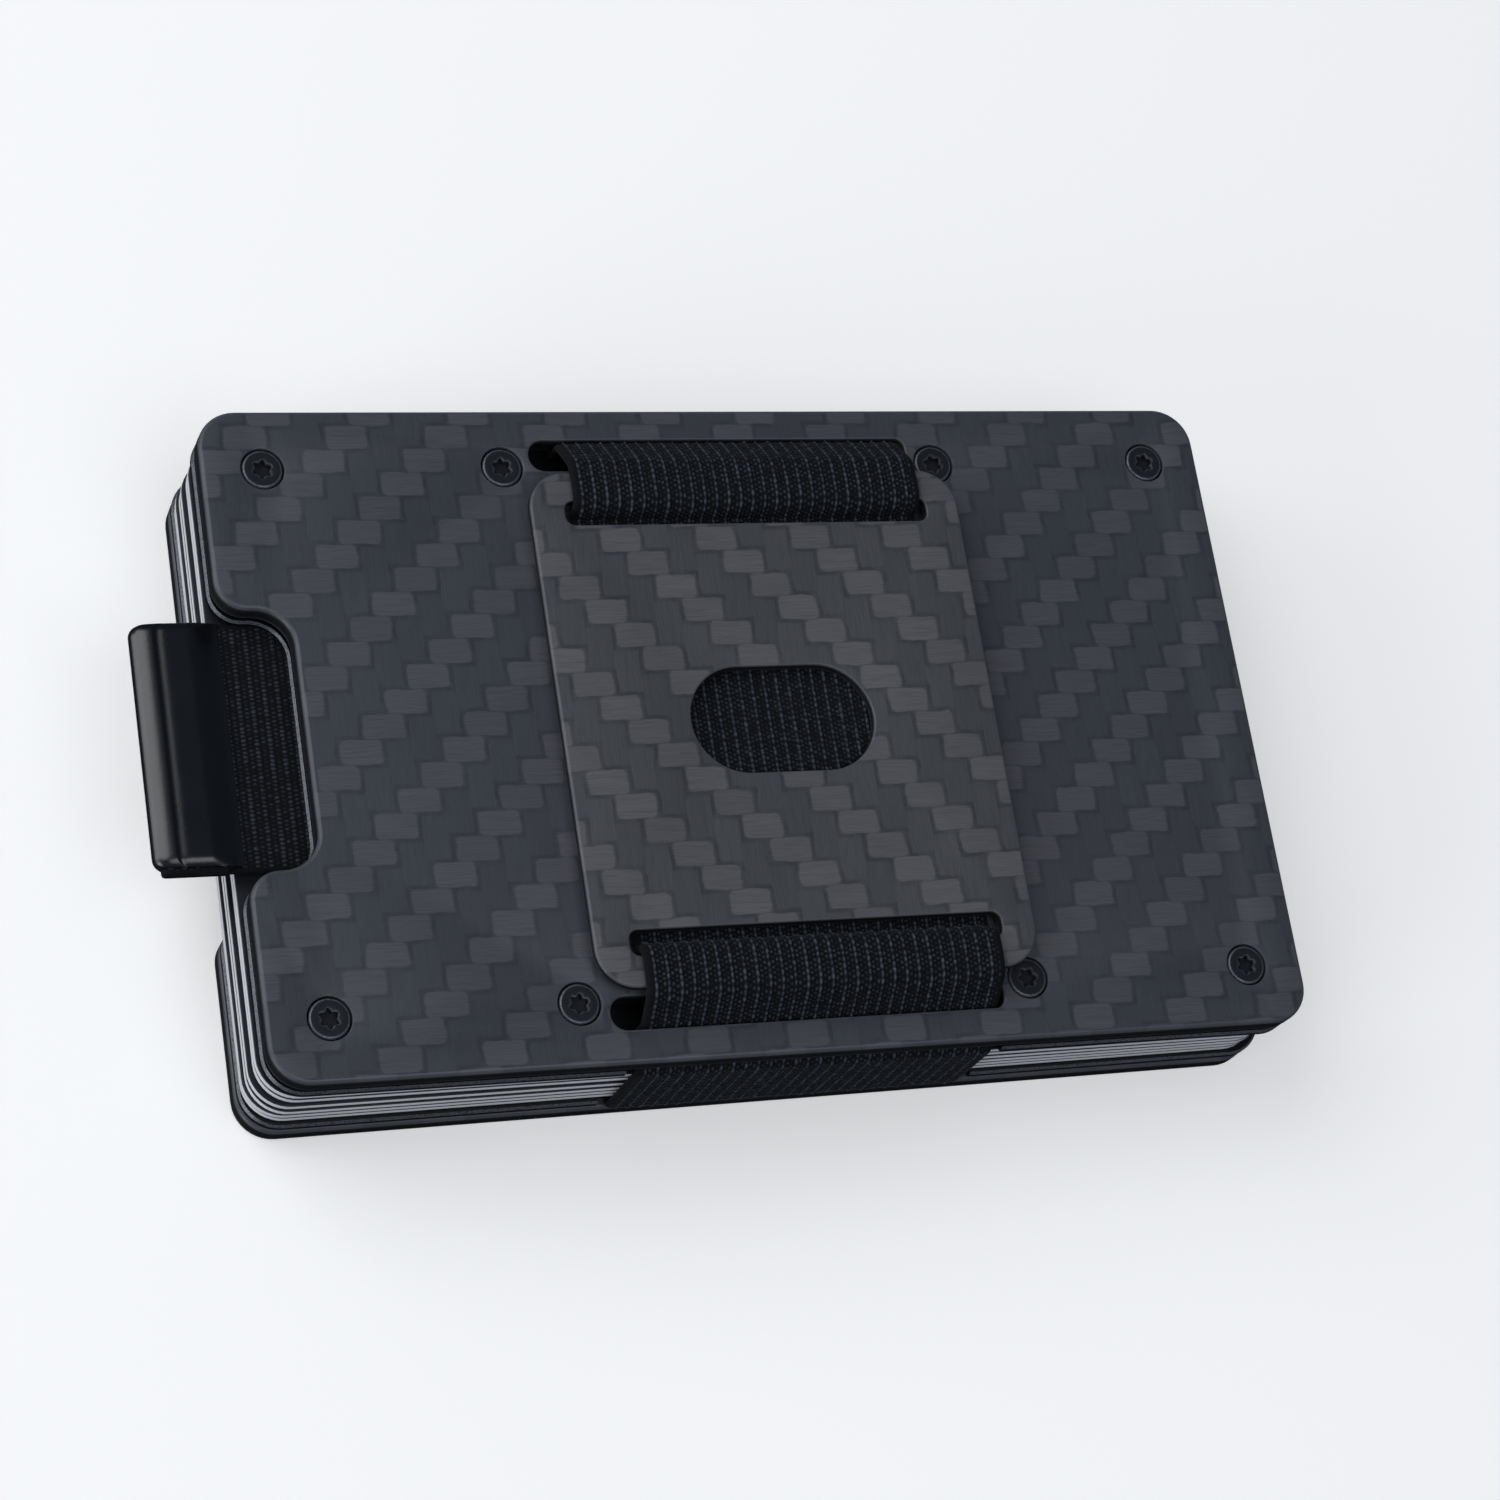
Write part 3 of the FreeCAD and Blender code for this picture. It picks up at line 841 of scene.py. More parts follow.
@dataclass
class Strip:
    """A flat woven strip that follows a path, with rounded edges and threads to be raised."""

    low: float
    high: float
    thick: float
    width_axis: WidthAxis
    across_step: float = 0.08
    threads_across: bool = False

    def section(self) -> tuple[np.ndarray, np.ndarray, np.ndarray]:
        """The strip's cross-section.

        Returns:
            Places across the strip, offsets from its middle, and the mask of the woven face.
        """
        edge = self.thick / 2
        count = round((self.high - self.low) / self.across_step)
        face = np.linspace(self.low + edge, self.high - edge, count)
        turn = np.linspace(0, math.pi, 7)[1:-1]
        back = np.linspace(self.high - edge, self.low + edge, max(count // 12, 2))
        across = np.concatenate([face, self.high - edge + edge * np.sin(turn), back,
                                 self.low + edge - edge * np.sin(turn)])
        offset = np.concatenate([np.full(len(face), edge), edge * np.cos(turn),
                                 np.full(len(back), -edge), -edge * np.cos(turn)])
        mask = np.zeros(len(across))
        mask[:count] = np.clip(np.minimum(face - face[0], face[-1] - face) / 0.25, 0, 1)
        return across, offset, mask

    def build(self, name: str, first: np.ndarray, last: np.ndarray, up: int,
              placement: Matrix) -> bpy.types.Object:
        """Makes the strip's shell.

        Args:
            name: the piece's name.
            first: the path at the strip's low edge.
            last: the path at its high edge, with as many points.
            up: 1 or -1, the side of the path that the woven face is on.
            placement: from the path's frame in millimetres to the wallet's.

        Returns:
            The object, with u and v thread coordinates and the mask on its vertices.
        """
        across, offset, mask = self.section()
        share = ((across - self.low) / (self.high - self.low))[None, :, None]
        line = first[:, None, :] * (1 - share) + last[:, None, :] * share
        way = np.gradient(line, axis=0)
        way /= np.linalg.norm(way, axis=2, keepdims=True)
        side = np.stack([-way[:, :, 1], way[:, :, 0]], 2) * up
        spread = line + side * offset[None, :, None]
        rows, columns = spread.shape[:2]
        verts = np.zeros((rows, columns, 3))
        other = 1 - self.width_axis.value
        verts[:, :, self.width_axis.value] = across[None, :]
        verts[:, :, other] = spread[:, :, 0]
        verts[:, :, 2] = spread[:, :, 1]
        mesh = lofted(list(verts))
        along = np.broadcast_to(path_length(first)[:, None], (rows, columns))
        wide = np.broadcast_to(across[None, :], (rows, columns))
        u, v = (along, wide) if self.threads_across else (wide, along)
        piece = finished(mesh, name, placement, 75.0)
        for key, value in (("thread_u", u), ("thread_v", v),
                           ("woven", np.broadcast_to(mask[None, :], (rows, columns)))):
            layer = piece.data.attributes.new(key, "FLOAT", "POINT")
            layer.data.foreach_set("value", value.astype(np.float32).ravel())
        return piece


# ---- geometry trees -----------------------------------------------------------------------


def woven_relief_tree() -> bpy.types.NodeTree:
    """Builds the tree that raises the threads of a woven strip.

    Returns:
        A tree whose inputs are the threads' pitches and heights in millimetres, how many columns
        apart the ribs stand, how solid a rib is, a seed and the finish.
    """
    number, whole = "NodeSocketFloat", "NodeSocketInt"
    tree, g, group_in, group_out = new_group(
        "woven_relief", "GeometryNodeTree",
        {"Geometry": "NodeSocketGeometry", "Column Pitch": number, "Course Pitch": number,
         "Rib Spacing": number, "Rib Height": number, "Rib Solidity": number,
         "Rib Stretch": number,
         "Bump Height": number, "Roughness": number, "Unevenness": number, "Seed": whole,
         "Finish": "NodeSocketMaterial"},
        {"Geometry": "NodeSocketGeometry"})
    size = group_in.outputs
    read = {key: g.add("GeometryNodeInputNamedAttribute", {"Name": key}, data_type="FLOAT")
            .outputs["Attribute"] for key in ("thread_u", "thread_v", "woven")}
    place = g.combine(read["thread_u"], read["thread_v"], size["Seed"])
    noise = g.add("ShaderNodeTexNoise", {"Vector": place, "Scale": 2.3, "Detail": 2.0})
    wander = g.minus(noise.outputs[0], 0.5)
    column = g.math("DIVIDE", read["thread_u"], size["Column Pitch"])
    index = g.math("FLOOR", column)
    from_mid = g.minus(g.math("FRACT", column), 0.5)
    crown = g.math("COSINE", g.times(from_mid, math.pi))
    in_rib = g.math("LESS_THAN", g.math("FLOORED_MODULO", index, size["Rib Spacing"]), 0.5)
    stagger = g.times(g.math("FLOORED_MODULO", index, 2.0), 0.5)
    course = g.plus(g.math("DIVIDE", read["thread_v"], size["Course Pitch"]), stagger)
    course = g.plus(course, g.times(wander, 0.9))
    wave = g.math("COSINE", g.times(course, 2 * math.pi))
    bump = g.plus(0.5, g.times(wave, 0.5))
    chain = g.times(course, g.times(2 * math.pi, size["Rib Stretch"]))
    link = g.plus(0.5, g.times(g.math("COSINE", chain), 0.5))
    rib = g.plus(size["Rib Solidity"],
                 g.times(g.minus(1.0, size["Rib Solidity"]), link))
    knot_id = g.combine(index, g.math("FLOOR", g.plus(course, 0.5)), size["Seed"])
    knot = g.add("ShaderNodeTexWhiteNoise", {"Vector": knot_id}).outputs["Value"]
    proud = g.minus(1.0, g.times(knot, size["Unevenness"]))
    level = g.times(g.pick(in_rib, g.times(bump, 0.62), rib), proud)
    height = g.pick(in_rib, size["Bump Height"], size["Rib Height"])
    relief = g.times(g.times(crown, level), read["woven"])
    rise = g.plus(g.times(relief, height),
                  g.times(g.times(wander, size["Roughness"]),
                         read["woven"]))
    normal = g.add("GeometryNodeInputNormal").outputs[0]
    shift = g.vector("SCALE", normal)
    g.plug(g.times(rise, MM), shift.inputs["Scale"])
    raised = g.add("GeometryNodeSetPosition", {"Geometry": size["Geometry"],
                                               "Offset": shift.outputs[0]})
    kept = g.add("GeometryNodeStoreNamedAttribute",
                 {"Geometry": raised.outputs[0], "Name": "relief", "Value": relief},
                 data_type="FLOAT", domain="POINT")
    real = g.add("GeometryNodeRealizeInstances", {0: kept.outputs[0]})
    dressed = g.add("GeometryNodeSetMaterial", {"Geometry": real.outputs[0],
                                                "Material": size["Finish"]})
    g.plug(dressed.outputs[0], group_out.inputs["Geometry"])
    return tree


def scattered_parts_tree() -> bpy.types.NodeTree:
    """Builds the tree that sets one fastener on every point, each turned by its own angle.

    Returns:
        A tree whose inputs are the points, the fastener, a seed and the finish.
    """
    tree, g, group_in, group_out = new_group(
        "set_fasteners", "GeometryNodeTree",
        {"Geometry": "NodeSocketGeometry", "Fastener": "NodeSocketObject",
         "Seed": "NodeSocketInt", "Finish": "NodeSocketMaterial"},
        {"Geometry": "NodeSocketGeometry"})
    part = g.add("GeometryNodeObjectInfo", {"Object": group_in.outputs["Fastener"]})
    angle = g.add("FunctionNodeRandomValue", data_type="FLOAT_VECTOR")
    angle.inputs[0].default_value = (0.0, 0.0, 0.0)
    angle.inputs[1].default_value = (0.0, 0.0, 2 * math.pi)
    g.plug(group_in.outputs["Seed"], angle.inputs["Seed"])
    placed = g.add("GeometryNodeInstanceOnPoints",
                   {"Points": group_in.outputs["Geometry"], "Instance": part.outputs["Geometry"],
                    "Rotation": angle.outputs[0]})
    real = g.add("GeometryNodeRealizeInstances", {0: placed.outputs[0]})
    dressed = g.add("GeometryNodeSetMaterial", {"Geometry": real.outputs[0],
                                                "Material": group_in.outputs["Finish"]})
    g.plug(dressed.outputs[0], group_out.inputs["Geometry"])
    return tree


def grow(piece: bpy.types.Object, tree: bpy.types.NodeTree, **values: object) -> None:
    """Runs a geometry tree over a piece and keeps the result as its plain mesh.

    Args:
        piece: the object whose mesh goes in.
        tree: the geometry tree.
        **values: the tree's inputs, named with underscores for spaces.
    """
    modifier = piece.modifiers.new(tree.name, "NODES")
    modifier.node_group = tree
    for item in tree.interface.items_tree:
        key = item.name.replace(" ", "_")
        if item.in_out == "INPUT" and key in values:
            modifier[item.identifier] = values[key]
    bpy.context.view_layer.update()
    depsgraph = bpy.context.evaluated_depsgraph_get()
    mesh = bpy.data.meshes.new_from_object(piece.evaluated_get(depsgraph), depsgraph=depsgraph,
                                           preserve_all_data_layers=True)
    piece.modifiers.remove(modifier)
    piece.data = mesh
    mesh.name = piece.name


def hand_over(piece: bpy.types.Object, slot: Slot, *nodes: str, body: Body | None = None,
              finish: bpy.types.Material | None = None) -> None:
    """Gives a finished piece its finish and its body, and hides and logs the nodes that it stands
    for.

    Args:
        piece: the finished piece.
        slot: the record's material slot; not used.
        *nodes: the frame nodes that it replaces.
        body: the one body that it rides on, unless it is blended already.
        finish: its material, unless its mesh has one already.
    """
    if finish is not None:
        piece.data.materials.append(finish)
    if body is not None:
        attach(piece, body.value)
    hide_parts(*nodes)
    LOG.info("%s: %d faces, stands for %s", piece.name, len(piece.data.polygons),
             ", ".join(nodes))


@dataclass(frozen=True)
class Weave:
    """A woven strip's threads and finish; the sizes are the relief tree's inputs."""

    tree: bpy.types.NodeTree
    finish: bpy.types.Material
    sizes: dict[str, float]

    def raise_on(self, piece: bpy.types.Object, seed: int) -> None:
        """Raises the threads on one strip."""
        grow(piece, self.tree, Seed=seed, Finish=self.finish, **self.sizes)


# ---- the wallet's layout --------------------------------------------------------------------


@dataclass(frozen=True)
class Layout:
    """Where the two panels sit, and the sizes that more than one sub-assembly uses."""

    closed_thick: float = 12.84
    front_slip: float = 0.25
    panel_thick: float = 3.7
    outer_thick: float = 2.0
    band_mid: float = -2.4
    ribbon_mid: float = -3.445

    @property
    def length(self) -> float:
        """Length of a panel, from the frame."""
        low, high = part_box("back_outer_plate")
        return (high.x - low.x) / MM

    @property
    def width(self) -> float:
        """Width of a panel, from the frame."""
        low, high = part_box("back_outer_plate")
        return (high.y - low.y) / MM

    @property
    def in_place(self) -> Matrix:
        """Turns millimetres in the wallet's own frame into metres."""
        return Matrix.Scale(MM, 4)

    @property
    def on_back(self) -> Matrix:
        """Turns a panel part over, outer face down on the ground plane."""
        return Matrix.Scale(MM, 4) @ Matrix.Rotation(math.pi, 4, "X")

    @property
    def on_front(self) -> Matrix:
        """Sets a panel part on the cards, leaning open towards the mouth.

        Returns:
            The placing matrix, in metres.
        """
        lean = Matrix.Rotation(SPLAY, 4, "Y")
        hinge = Vector((self.length / 2, 0, 0))
        closed_end = Vector((self.length / 2 + self.front_slip, 0, self.closed_thick))
        return Matrix.Scale(MM, 4) @ Matrix.Translation(closed_end - lean @ hinge) @ lean

    def front_height(self, x: float, below: float) -> float:
        """Finds how high a level of the front panel stands above the ground."""
        run = self.length / 2 + self.front_slip - x
        return self.closed_thick + run * math.tan(SPLAY) + below


@dataclass
class Panel:
    """One carbon outer plate with its thumb notch, screw seats and webbing slots."""

    layout: Layout
    corner: float = 3.2
    edge: float = 0.35
    notch_depth: float = 5.8
    notch_half: float = 10.6
    notch_inner: float = 3.0
    notch_mouth: float = 2.5
    screw_x: tuple[float, ...] = (-38.3, -18.75, 18.75, 38.3)
    screw_y: float = 22.47
    slot_half: float = 16.4
    slot_y: float = 23.45
    slot_height: float = 2.7
    slot_left: float = 1.3
    slot_right: float = 0.8

    def screw_places(self) -> list[tuple[float, float]]:
        """The eight screws' places on the panel."""
        return [(x, y) for x in self.screw_x for y in (-self.screw_y, self.screw_y)]

    def outline(self) -> Outline:
        """Draws the panel's plan, with the thumb notch in its -X end.

        Returns:
            The outline.
        """
        x, y = self.layout.length / 2, self.layout.width / 2
        floor = -x + self.notch_depth
        return Outline([(-x, -y, self.corner), (x, -y, self.corner), (x, y, self.corner),
                        (-x, y, self.corner), (-x, self.notch_half, self.notch_mouth),
                        (floor, self.notch_half, self.notch_inner),
                        (floor, -self.notch_half, self.notch_inner),
                        (-x, -self.notch_half, self.notch_mouth)])

    def plate(self, with_slots: bool) -> Plate:
        """Makes the outer plate with its screw seats.

        Args:
            with_slots: whether the webbing's slots are cut too.

        Returns:
            The plate, ready to build.
        """
        plate = Plate(self.outline(), 0.0, -self.layout.outer_thick, self.edge)
        for x, y in self.screw_places():
            plate.counterbore(x, y, 1.76, 1.05, 1.05)
        for side in Side if with_slots else ():
            low = side.value * self.slot_y - self.slot_height / 2
            high = low + self.slot_height
            plate.cut(Outline([(-self.slot_half, low, self.slot_left),
                               (self.slot_half, low, self.slot_right),
                               (self.slot_half, high, self.slot_right),
                               (-self.slot_half, high, self.slot_left)], 6), 0.14)
        return plate

    def dress(self, finish: bpy.types.Material) -> None:
        """Builds both panels' plates and gives them their finish.

        Args:
            finish: the carbon laminate.
        """
        for name, body, placement, node in (
                ("carbon_back_plate", Body.BACK, self.layout.on_back, "back_outer_plate"),
                ("carbon_front_plate", Body.FRONT, self.layout.on_front, "front_outer_plate")):
            piece = self.plate(body is Body.FRONT).build(name, placement)
            hand_over(piece, Slot.CARBON, node, body=body, finish=finish)


@dataclass
class ScrewSet:
    """The screws of a panel: a low round head with a six-lobe recess, on a plain shank."""

    panel: Panel
    head_radius: float = 1.62
    head_height: float = 1.0
    seat_depth: float = 1.05
    rim: float = 0.22
    lobe_mid: float = 0.73
    lobe_swing: float = 0.13
    lobes: int = 6
    recess_depth: float = 0.65
    shank_radius: float = 0.95
    columns: int = 48

    @property
    def angles(self) -> np.ndarray:
        """The angle of each point of a ring."""
        return np.linspace(0, 2 * math.pi, self.columns, endpoint=False)

    def recess(self, swell: float, height: float, scale: float = 1.0) -> np.ndarray:
        """Draws one ring of the six-lobe recess."""
        waves = np.cos(self.lobes * self.angles)
        return self.circle((self.lobe_mid + self.lobe_swing * waves) * scale + swell, height)

    def circle(self, radius: float | np.ndarray, height: float) -> np.ndarray:
        """One ring, round or with a radius for each of its points."""
        return np.stack([radius * np.cos(self.angles), radius * np.sin(self.angles),
                         np.full(self.columns, height)], 1)

    def screw(self) -> bpy.types.Object:
        """Builds one screw about the origin, its head's top just below z = 0.

        Returns:
            The screw, which the fastener tree copies.
        """
        top = self.head_height - self.seat_depth
        under = -self.seat_depth
        quarter = [math.pi / 2 * k / 5 for k in range(6)]
        rings = [self.recess(0, top - self.recess_depth, 0.5),
                 self.recess(0, top - self.recess_depth),
                 self.recess(0, top - 0.07), self.recess(0.03, top - 0.015),
                 self.recess(0.09, top), self.circle(1.12, top)]
        rings += [self.circle(self.head_radius - self.rim * (1 - math.sin(a)),
                              top - self.rim * (1 - math.cos(a))) for a in quarter]
        rings += [self.circle(self.head_radius, under), self.circle(self.shank_radius, under),
                  self.circle(self.shank_radius, -self.panel.layout.panel_thick + 0.05)]
        return finished(lofted(rings), "screw_pattern", Matrix.Identity(4), 35.0)

    def dress(self, tree: bpy.types.NodeTree, finish: bpy.types.Material) -> None:
        """Sets eight screws on each panel.

        Args:
            tree: the tree that places fasteners.
            finish: the screws' finish.
        """
        pattern = self.screw()
        layout = self.panel.layout
        for seed, name, body, placement, node in (
                (4, "back_screw_set", Body.BACK, layout.on_back, "back_screws"),
                (9, "front_screw_set", Body.FRONT, layout.on_front, "front_screws")):
            data = bpy.data.meshes.new(name)
            data.from_pydata([(x, y, 0.0) for x, y in self.panel.screw_places()], [], [])
            piece = bpy.data.objects.new(name, data)
            bpy.context.scene.collection.objects.link(piece)
            grow(piece, tree, Fastener=pattern, Seed=seed, Finish=finish)
            piece.data.transform(placement)
            hand_over(piece, Slot.SCREW, node, body=body)
        bpy.data.objects.remove(pattern)


@dataclass
class MoneyClip:
    """The clip: a thin carbon plate with two webbing slots and a round-ended window."""

    layout: Layout
    length: float = 36.9
    width: float = 43.1
    corner: float = 3.2
    lift: float = 0.9
    thick: float = 1.0
    centre: tuple[float, float] = (0.9, -0.45)
    edge: float = 0.22
    slot_y: float = 18.0
    slot_height: float = 2.1
    slot_half: float = 15.6
    slot_corner: float = 0.8
    window: tuple[float, float] = (15.5, 9.0)

    def dress(self, finish: bpy.types.Material) -> None:
        """Builds the clip and gives it its finish.

        Args:
            finish: the clip's carbon laminate.
        """
        top = self.lift + self.thick
        plate = Plate(box_outline(self.length, self.width, self.corner, self.centre), top,
                      self.lift, self.edge)
        for side in Side:
            place = (self.centre[0], self.centre[1] + side.value * self.slot_y)
            plate.cut(box_outline(2 * self.slot_half, self.slot_height, self.slot_corner, place, 6),
                      0.12)
        plate.cut(box_outline(*self.window, self.window[1] / 2 * 0.999, self.centre, 12), 0.14)
        piece = plate.build("carbon_clip_plate", self.layout.on_front)
        hand_over(piece, Slot.CARBON, "clip_plate", body=Body.CLIP, finish=finish)


@dataclass
class Webbing:
    """The elastic loop, in the stretches that its bodies divide it into."""

    layout: Layout
    panel: Panel
    clip: MoneyClip
    weave: Weave
    width: float = 29.9
    thick: float = 0.62
    centre_x: float = 0.95
    side_y: float = 27.4
    row_step: float = 0.085

    @property
    def strip(self) -> Strip:
        """The webbing's flat section."""
        half = self.width / 2
        return Strip(self.centre_x - half, self.centre_x + half, self.thick, WidthAxis.X)

    def over_clip(self, side: Side) -> None:
        """Builds the stretch out of a panel slot, over the clip's edge and down its slot.

        Args:
            side: the long edge that it is on.
        """
        sign = side.value
        half = self.thick / 2
        leg = sign * self.clip.centre[1] + self.clip.slot_y + self.clip.slot_height / 2 - half - 0.1
        edge = sign * self.clip.centre[1] + self.clip.width / 2
        foot = self.panel.slot_y + self.panel.slot_height / 2 - half - 0.1
        crest = self.clip.lift + self.clip.thick + half + 0.06
        under = 0.47
        corners = [(26.4, self.layout.band_mid, 0), (foot, self.layout.band_mid, 0.5),
                   (foot - 0.05, -0.35, 1.0), (edge + 0.55, crest - 0.1, 1.3),
                   (edge - 1.2, crest + 0.08, 4.0), (leg, crest, 0.95), (leg - 0.55, under, 0.4),
                   (15.0, under, 0)]
        line = bent_path([(sign * y, z, radius) for y, z, radius in corners],
                         round(14.5 / self.row_step))
        piece = self.strip.build("webbing_over_clip_" + side.name.lower(), line, line, -sign,
                                 self.layout.on_front)
        self.weave.raise_on(piece, 10 + sign)
        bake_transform(piece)
        tail = "_" + side.name.lower()
        hand_over(piece, Slot.WEBBING, "elastic_clip_span" + tail, "elastic_clip_turn" + tail,
                  "elastic_front_run" + tail)

    def down_side(self, side: Side) -> None:
        """Builds the stretch past the cards' edges, from one panel into the other.

        Args:
            side: the long edge that it is on.
        """
        sign = side.value
        strip = self.strip
        lines = []
        for x in (strip.low, strip.high):
            top = self.layout.front_height(x, self.layout.band_mid)
            corners = [(24.6, -self.layout.band_mid, 0), (self.side_y, -self.layout.band_mid, 0.7),
                       (self.side_y + 0.02, (top - self.layout.band_mid) / 2, 30.0),
                       (self.side_y, top, 0.7), (26.45, top, 0)]
            lines.append(bent_path([(sign * y, z, radius) for y, z, radius in corners],
                                   round(13.5 / self.row_step)))
        piece = strip.build("webbing_side_" + side.name.lower(), *lines, -sign,
                            self.layout.in_place)
        self.weave.raise_on(piece, 20 + sign)
        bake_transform(piece)
        hand_over(piece, Slot.WEBBING, "elastic_side_run_" + side.name.lower())

    def under_clip(self) -> None:
        """Builds the run beneath the clip, seen through its window."""
        line = bent_path([(15.0, 0.47, 0), (0.0, 0.4, 60.0), (-15.0, 0.47, 0)], 250)
        strip = self.strip
        strip.across_step = 0.12
        piece = strip.build("webbing_under_clip", line, line, -1, self.layout.on_front)
        self.weave.raise_on(piece, 31)
        hand_over(piece, Slot.WEBBING, "elastic_under_clip", body=Body.CLIP)

    def through_back(self) -> None:
        """Builds the run between the back panel's plates."""
        level = -self.layout.band_mid
        line = bent_path([(-24.6, level, 0), (24.6, level, 0)], 200)
        strip = self.strip
        strip.across_step = 0.2
        piece = strip.build("webbing_through_back", line, line, -1, self.layout.in_place)
        self.weave.raise_on(piece, 41)
        hand_over(piece, Slot.WEBBING, "elastic_back_run", body=Body.BACK)

    def dress(self) -> None:
        """Builds every stretch of the loop."""
        for side in Side:
            self.over_clip(side)
            self.down_side(side)
        self.under_clip()
        self.through_back()


@dataclass
class CardStack:
    """Six bank cards, pinched at the closed end and fanned towards the mouth."""

    layout: Layout
    length: float = 85.6
    width: float = 53.98
    thick: float = 0.76
    corner: float = 3.18
    centre_x: float = -0.25
    pitch: float = 0.81
    floor_gap: float = 0.08
    fan: tuple[float, ...] = (0.12, 0.08, 0.15, 0.69, 1.04, 0.30)
    offset_x: tuple[float, ...] = (0.0, -0.12, 0.08, -0.05, 0.10, 0.02)

    def dress(self, finishes: list[bpy.types.Material]) -> None:
        """Builds the cards.

        Args:
            finishes: one card finish after another, used in turn.
        """
        for index, offset in enumerate(self.offset_x):
            pivot = Vector((self.layout.length / 2, 0,
                            self.layout.panel_thick + self.floor_gap + index * self.pitch))
            tilt = math.atan(sum(self.fan[:index + 1]) / self.layout.length)
            place = (Matrix.Scale(MM, 4) @ Matrix.Translation(pivot)
                     @ Matrix.Rotation(tilt, 4, "Y"))
            centre = (self.centre_x + offset - pivot.x, 0.0)
            plate = Plate(box_outline(self.length, self.width, self.corner, centre), self.thick,
                          0.0, 0.07)
            piece = plate.build("bank_card_%d" % (index + 1), place)
            hand_over(piece, Slot.CARD, "card_%d" % (index + 1), body=Body.CARDS,
                      finish=finishes[index % len(finishes)])


@dataclass
class Ribbon:
    """The pull ribbon, in the stretches that its bodies divide it into."""

    layout: Layout
    weave: Weave
    width: float = 20.4
    thick: float = 0.40
    centre_y: float = 0.5
    loop_x: float = 42.975
    join_x: float = 42.1
    anchor_x: float = -34.0
    heel_x: float = -43.9
    nose_x: float = -49.04
    travel: float = 20.0
    shown_run: float = 9.0

    @property
    def strip(self) -> Strip:
        """Describes the ribbon's flat section.

        Returns:
            The strip that the ribbon's runs are made from.
        """
        half = self.width / 2
        return Strip(self.centre_y - half, self.centre_y + half, self.thick, WidthAxis.Y, 0.1,
                     threads_across=True)

    def over_cards(self) -> None:
        """Builds the run over the cards, from the tab to the closed end."""
        level = self.layout.ribbon_mid
        closed_end = self.join_x - self.layout.front_slip
        shown = self.heel_x + self.shown_run
        pulled = shown + 2 * self.travel
        line = np.concatenate(
            [bent_path([(start, level, 0), (end, level, 0)], rows)
             for start, end, rows in ((self.heel_x, shown - 0.1, 82), (shown, pulled - 0.3, 200),
                                      (pulled, closed_end, 60))])
        piece = self.strip.build("ribbon_over_cards", line, line, 1, self.layout.on_front)
        self.weave.raise_on(piece, 51)
        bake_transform(piece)
        hand_over(piece, Slot.RIBBON, "ribbon_top_run")

    def round_end(self) -> None:
        """Builds the turn round the closed end of the cards."""
        top = self.layout.front_height(self.join_x, self.layout.ribbon_mid)
        bottom = -self.layout.ribbon_mid
        line = bent_path([(self.join_x, top, 0), (self.loop_x, top, 0.6),
                          (self.loop_x, bottom, 0.6), (self.join_x, bottom, 0)], 60)
        piece = self.strip.build("ribbon_round_end", line, line, 1, self.layout.in_place)
        self.weave.raise_on(piece, 52)
        hand_over(piece, Slot.RIBBON, "ribbon_end_loop", body=Body.CARDS)

    def under_cards(self) -> None:
        """Builds the run under the cards, to its anchor in the back panel."""
        level = -self.layout.ribbon_mid
        line = bent_path([(self.join_x, level, 0), (self.anchor_x, level, 0.3),
                          (self.anchor_x, level - 0.7, 0)], 200)
        piece = self.strip.build("ribbon_under_cards", line, line, 1, self.layout.in_place)
        self.weave.raise_on(piece, 53)
        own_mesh(piece)
        hand_over(piece, Slot.RIBBON, "ribbon_bottom_run", body=Body.BACK)

    def in_tab(self) -> None:
        """Builds the end that is folded double inside the tab."""
        level = self.layout.ribbon_mid
        nose = self.nose_x + self.thick / 2 + 0.03
        heel = self.heel_x - 0.02
        line = bent_path([(heel, level + 0.3, 0), (nose, level + 0.3, 0.28),
                          (nose, level - 0.3, 0.28), (heel, level - 0.3, 0)], 90)
        piece = self.strip.build("ribbon_in_tab", line, line, -1, self.layout.on_front)
        self.weave.raise_on(piece, 54)
        hand_over(piece, Slot.RIBBON, "ribbon_folded_end", body=Body.TAB)

    def dress(self) -> None:
        """Builds every stretch of the ribbon."""
        self.over_cards()
        self.round_end()
        self.under_cards()
        self.in_tab()


